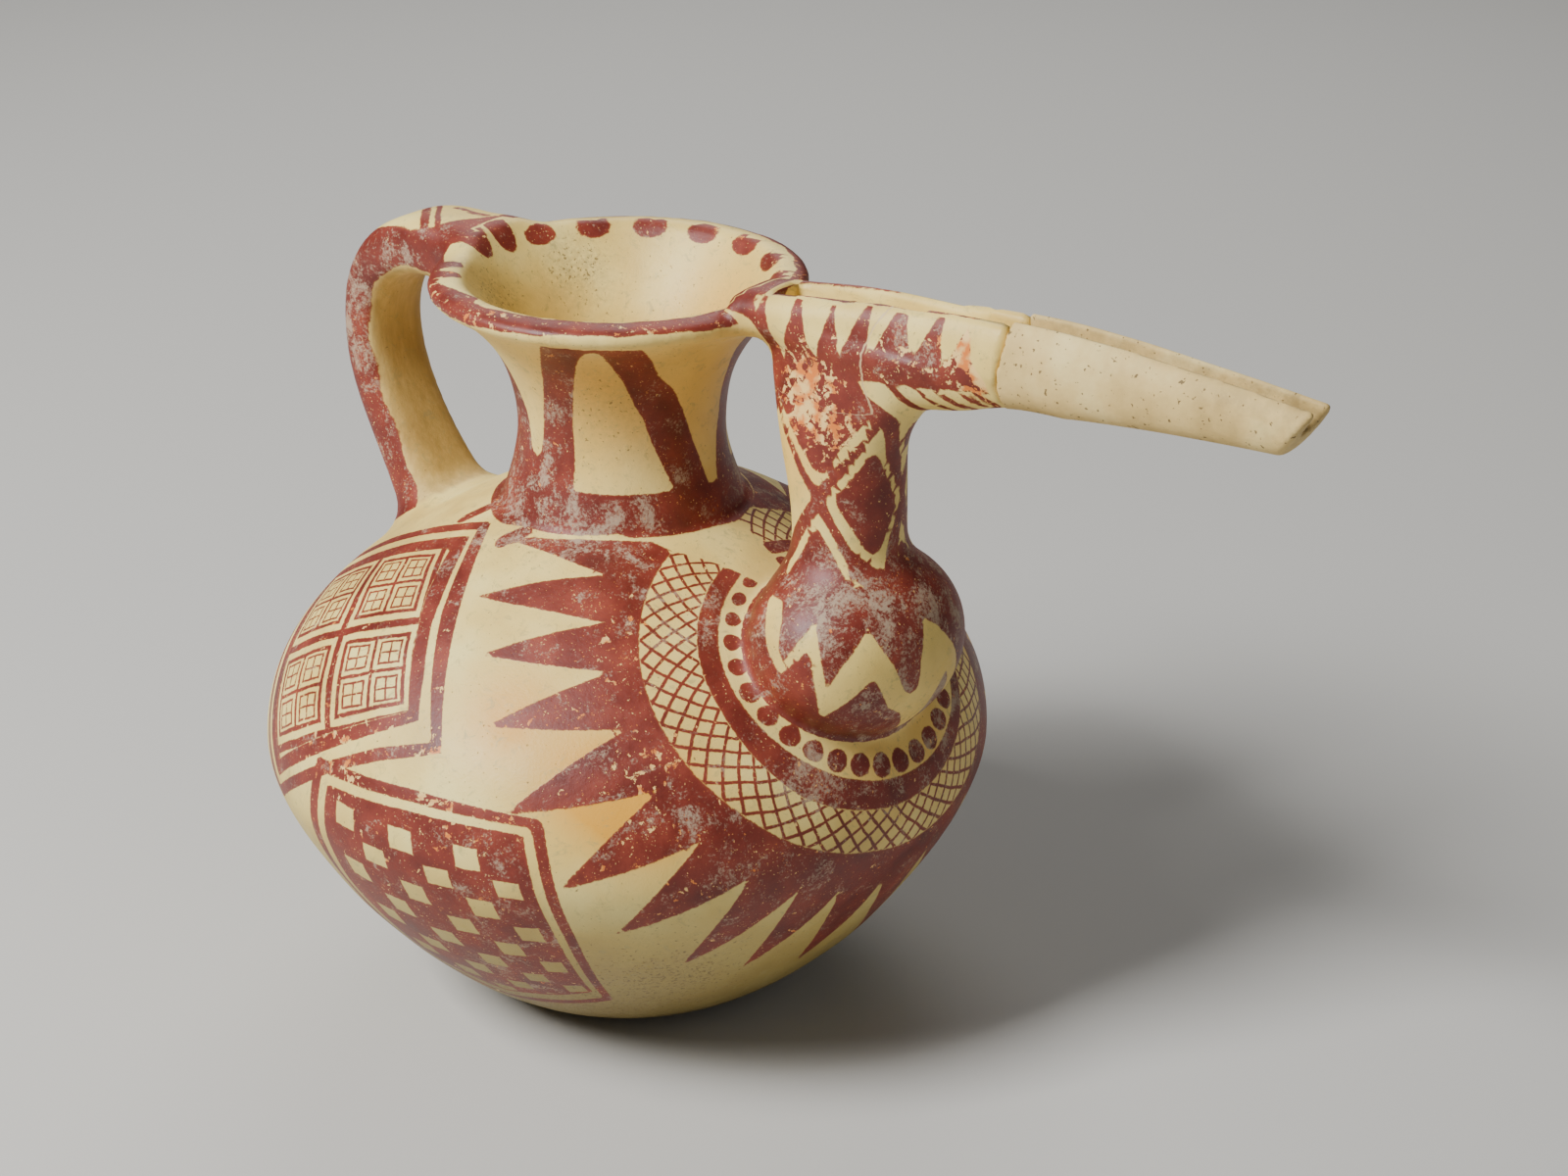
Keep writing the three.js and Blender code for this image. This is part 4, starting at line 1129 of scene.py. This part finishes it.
    # Relief: fine grain of the slip, small pits, and paint a hair proud of the ground.
    grain = put(t, "TexNoise", named={"Vector": mm, "Scale": 1.3, "Detail": 5.0, "Roughness": 0.65})
    relief = put(t, "Math MULTIPLY_ADD", grain, 0.35, put(t, "Math MULTIPLY", painted, 0.22))
    relief = put(t, "Math MULTIPLY_ADD", put(t, "MapRange", pits_and_shade, 0.69, 0.78, 0.0, -1.0), 0.5, relief)
    relief = put(t, "Math MULTIPLY_ADD", smear_noise, 0.5, relief)
    relief = put(t, "Math MULTIPLY_ADD", mend, -0.4, relief)
    bump = put(t, "Bump", named={"Strength": 0.5, "Distance": 0.0003, "Height": relief})
    rough = put(t, "Math MULTIPLY_ADD", dust_mask, 0.22, put(t, "MapRange", tone, 0.3, 0.7, 0.4, 0.54))
    rough = put(t, "Math MULTIPLY_ADD", layer["bare"], 0.25, rough)
    shader = put(
        t, "BsdfPrincipled",
        named={
            "Base Color": surface, "Roughness": rough, "Normal": bump, "IOR": 1.5, "Specular IOR Level": 0.45,
        },
    )
    put(t, "OutputMaterial", shader)
    return material


def plain_clay():
    """Fired clay, unpainted and matt, smoothed by hand: dry beige with small dark pits, and brown patches
    of grime and painted shade that darken its channel and the inside of its tip."""
    material, t = new_material("fired_clay_plain_matt")
    coord = put(t, "TexCoord", out=3)
    mm = put(t, "VectorMath SCALE", coord, named={3: 1000.0})
    cloud = put(t, "TexNoise", named={"Vector": mm, "Scale": 0.06, "Detail": 4.0, "Roughness": 0.6})
    base = put(t, "ValToRGB", cloud, stops=[(0.32, "#c6a868"), (0.5, "#ddbf7c"), (0.68, "#ecd594")])
    pit_noise = put(t, "TexNoise", named={"Vector": mm, "Scale": 0.95, "Detail": 2.0, "Roughness": 0.55})
    pit_mask = put(t, "MapRange", pit_noise, 0.665, 0.705, 0.0, 0.85)
    base = put(t, "Mix", named={0: pit_mask, 6: base, 7: colour("#5a4628")}, data_type="RGBA", out=2)
    # Grime and painted shade: brown patches, darkest along the channel and inside the tip.
    grime_and_shade = put(t, "Attribute", attribute_name="grime_and_shade", out=2)
    smear = put(t, "TexNoise", named={"Vector": mm, "Scale": 0.3, "Detail": 4.0, "Roughness": 0.7})
    grime_and_shade_mask = put(t, "Math MULTIPLY", grime_and_shade, put(t, "MapRange", smear, 0.38, 0.62, 0.25, 0.9))
    base = put(t, "Mix", named={0: grime_and_shade_mask, 6: base, 7: colour("#7a6438")}, data_type="RGBA", out=2)
    grain = put(t, "TexNoise", named={"Vector": mm, "Scale": 1.1, "Detail": 5.0, "Roughness": 0.7})
    relief = put(t, "Math MULTIPLY_ADD", grain, 0.5, put(t, "Math MULTIPLY", pit_mask, -0.6))
    bump = put(t, "Bump", named={"Strength": 0.55, "Distance": 0.0003, "Height": relief})
    rough = put(t, "MapRange", cloud, 0.3, 0.7, 0.62, 0.74)
    shader = put(
        t, "BsdfPrincipled",
        named={"Base Color": base, "Roughness": rough, "Normal": bump, "IOR": 1.5, "Specular IOR Level": 0.4},
    )
    put(t, "OutputMaterial", shader)
    return material


def floor_paper():
    """Matt studio paper: plain pale grey."""
    material, t = new_material("studio_paper_matt")
    shader = put(t, "BsdfPrincipled", named={"Base Color": colour("#c4c2bd"), "Roughness": 0.9})
    put(t, "OutputMaterial", shader)
    return material


def add_area_light(name, place, target, size, power):
    """A square soft light at a place, turned towards a target."""
    light = bpy.data.lights.new(name, "AREA")
    light.shape = "SQUARE"
    light.size = size
    light.energy = power
    lamp = bpy.data.objects.new(name, light)
    lamp.location = place
    way = np.array(target) - np.array(place)
    yaw = math.atan2(way[1], way[0]) - math.pi / 2
    pitch = math.acos(-way[2] / np.linalg.norm(way))
    lamp.rotation_euler = (pitch, 0, yaw)
    bpy.context.scene.collection.objects.link(lamp)


# Pieces.
jar_points, jar_faces = skin_of(jar_field, (-82.5, -82.5, -2), (103.5, 82.5, 178), JAR_STEP)
jar_layers = paint_layers(jar_points)
make_piece("painted_jar", jar_points, jar_faces, jar_layers, painted_clay(), "jar")

end_points, end_faces = skin_of(beak_end_field, (99, -9.5, 155), (169, 9.5, 178), BEAK_STEP)
# Grime and painted shade on the plain end: dark along the channel, with patches inside the tip and on its
# top.
end_layers = {
    "grime_and_shade": np.clip(
        0.4 * smooth(1 - trough_field(end_points) / 0.8)
        + spread(end_points, [((164, 0, 168), 7, 0.5), ((150, -5, 172), 9, 0.35), ((128, -5, 174), 8, 0.2)]),
        0, 1,
    ),
}
make_piece("plain_beak_end", end_points, end_faces, end_layers, plain_clay(), "beak_end")
print("jar faces", len(jar_faces), "beak end faces", len(end_faces))

# Camera: 70 mm lens at the photograph's angle.
camera_data = bpy.data.cameras.new("camera")
camera_data.lens = 70
camera_data.sensor_width = 36
camera = bpy.data.objects.new("camera", camera_data)
camera.location = (0.4083, -0.4535, 0.3648)
camera.rotation_euler = (math.radians(65.745), 0, math.radians(38.75))
bpy.context.scene.collection.objects.link(camera)
bpy.context.scene.camera = camera

# Studio: pale floor, a large soft key from the left and above, and weak fill.
floor_mesh = bpy.data.meshes.new("floor")
floor_mesh.from_pydata([(-3, -3, 0), (3, -3, 0), (3, 3, 0), (-3, 3, 0)], [], [(0, 1, 2, 3)])
floor_mesh.materials.append(floor_paper())
floor = bpy.data.objects.new("floor", floor_mesh)
bpy.context.scene.collection.objects.link(floor)

add_area_light("key", (-0.35, -0.9, 1.05), (0, 0, 0.08), 0.5, 33)
add_area_light("fill", (1.0, 0.1, 0.6), (0, 0, 0.08), 0.9, 1.2)
add_area_light("back", (-0.6, 0.8, 0.9), (0, 0, 0.08), 0.7, 5)
world = bpy.data.worlds.new("studio")
world.use_nodes = True
world.node_tree.nodes["Background"].inputs[0].default_value = colour("#a6a8aa")
world.node_tree.nodes["Background"].inputs[1].default_value = 0.16
bpy.context.scene.world = world
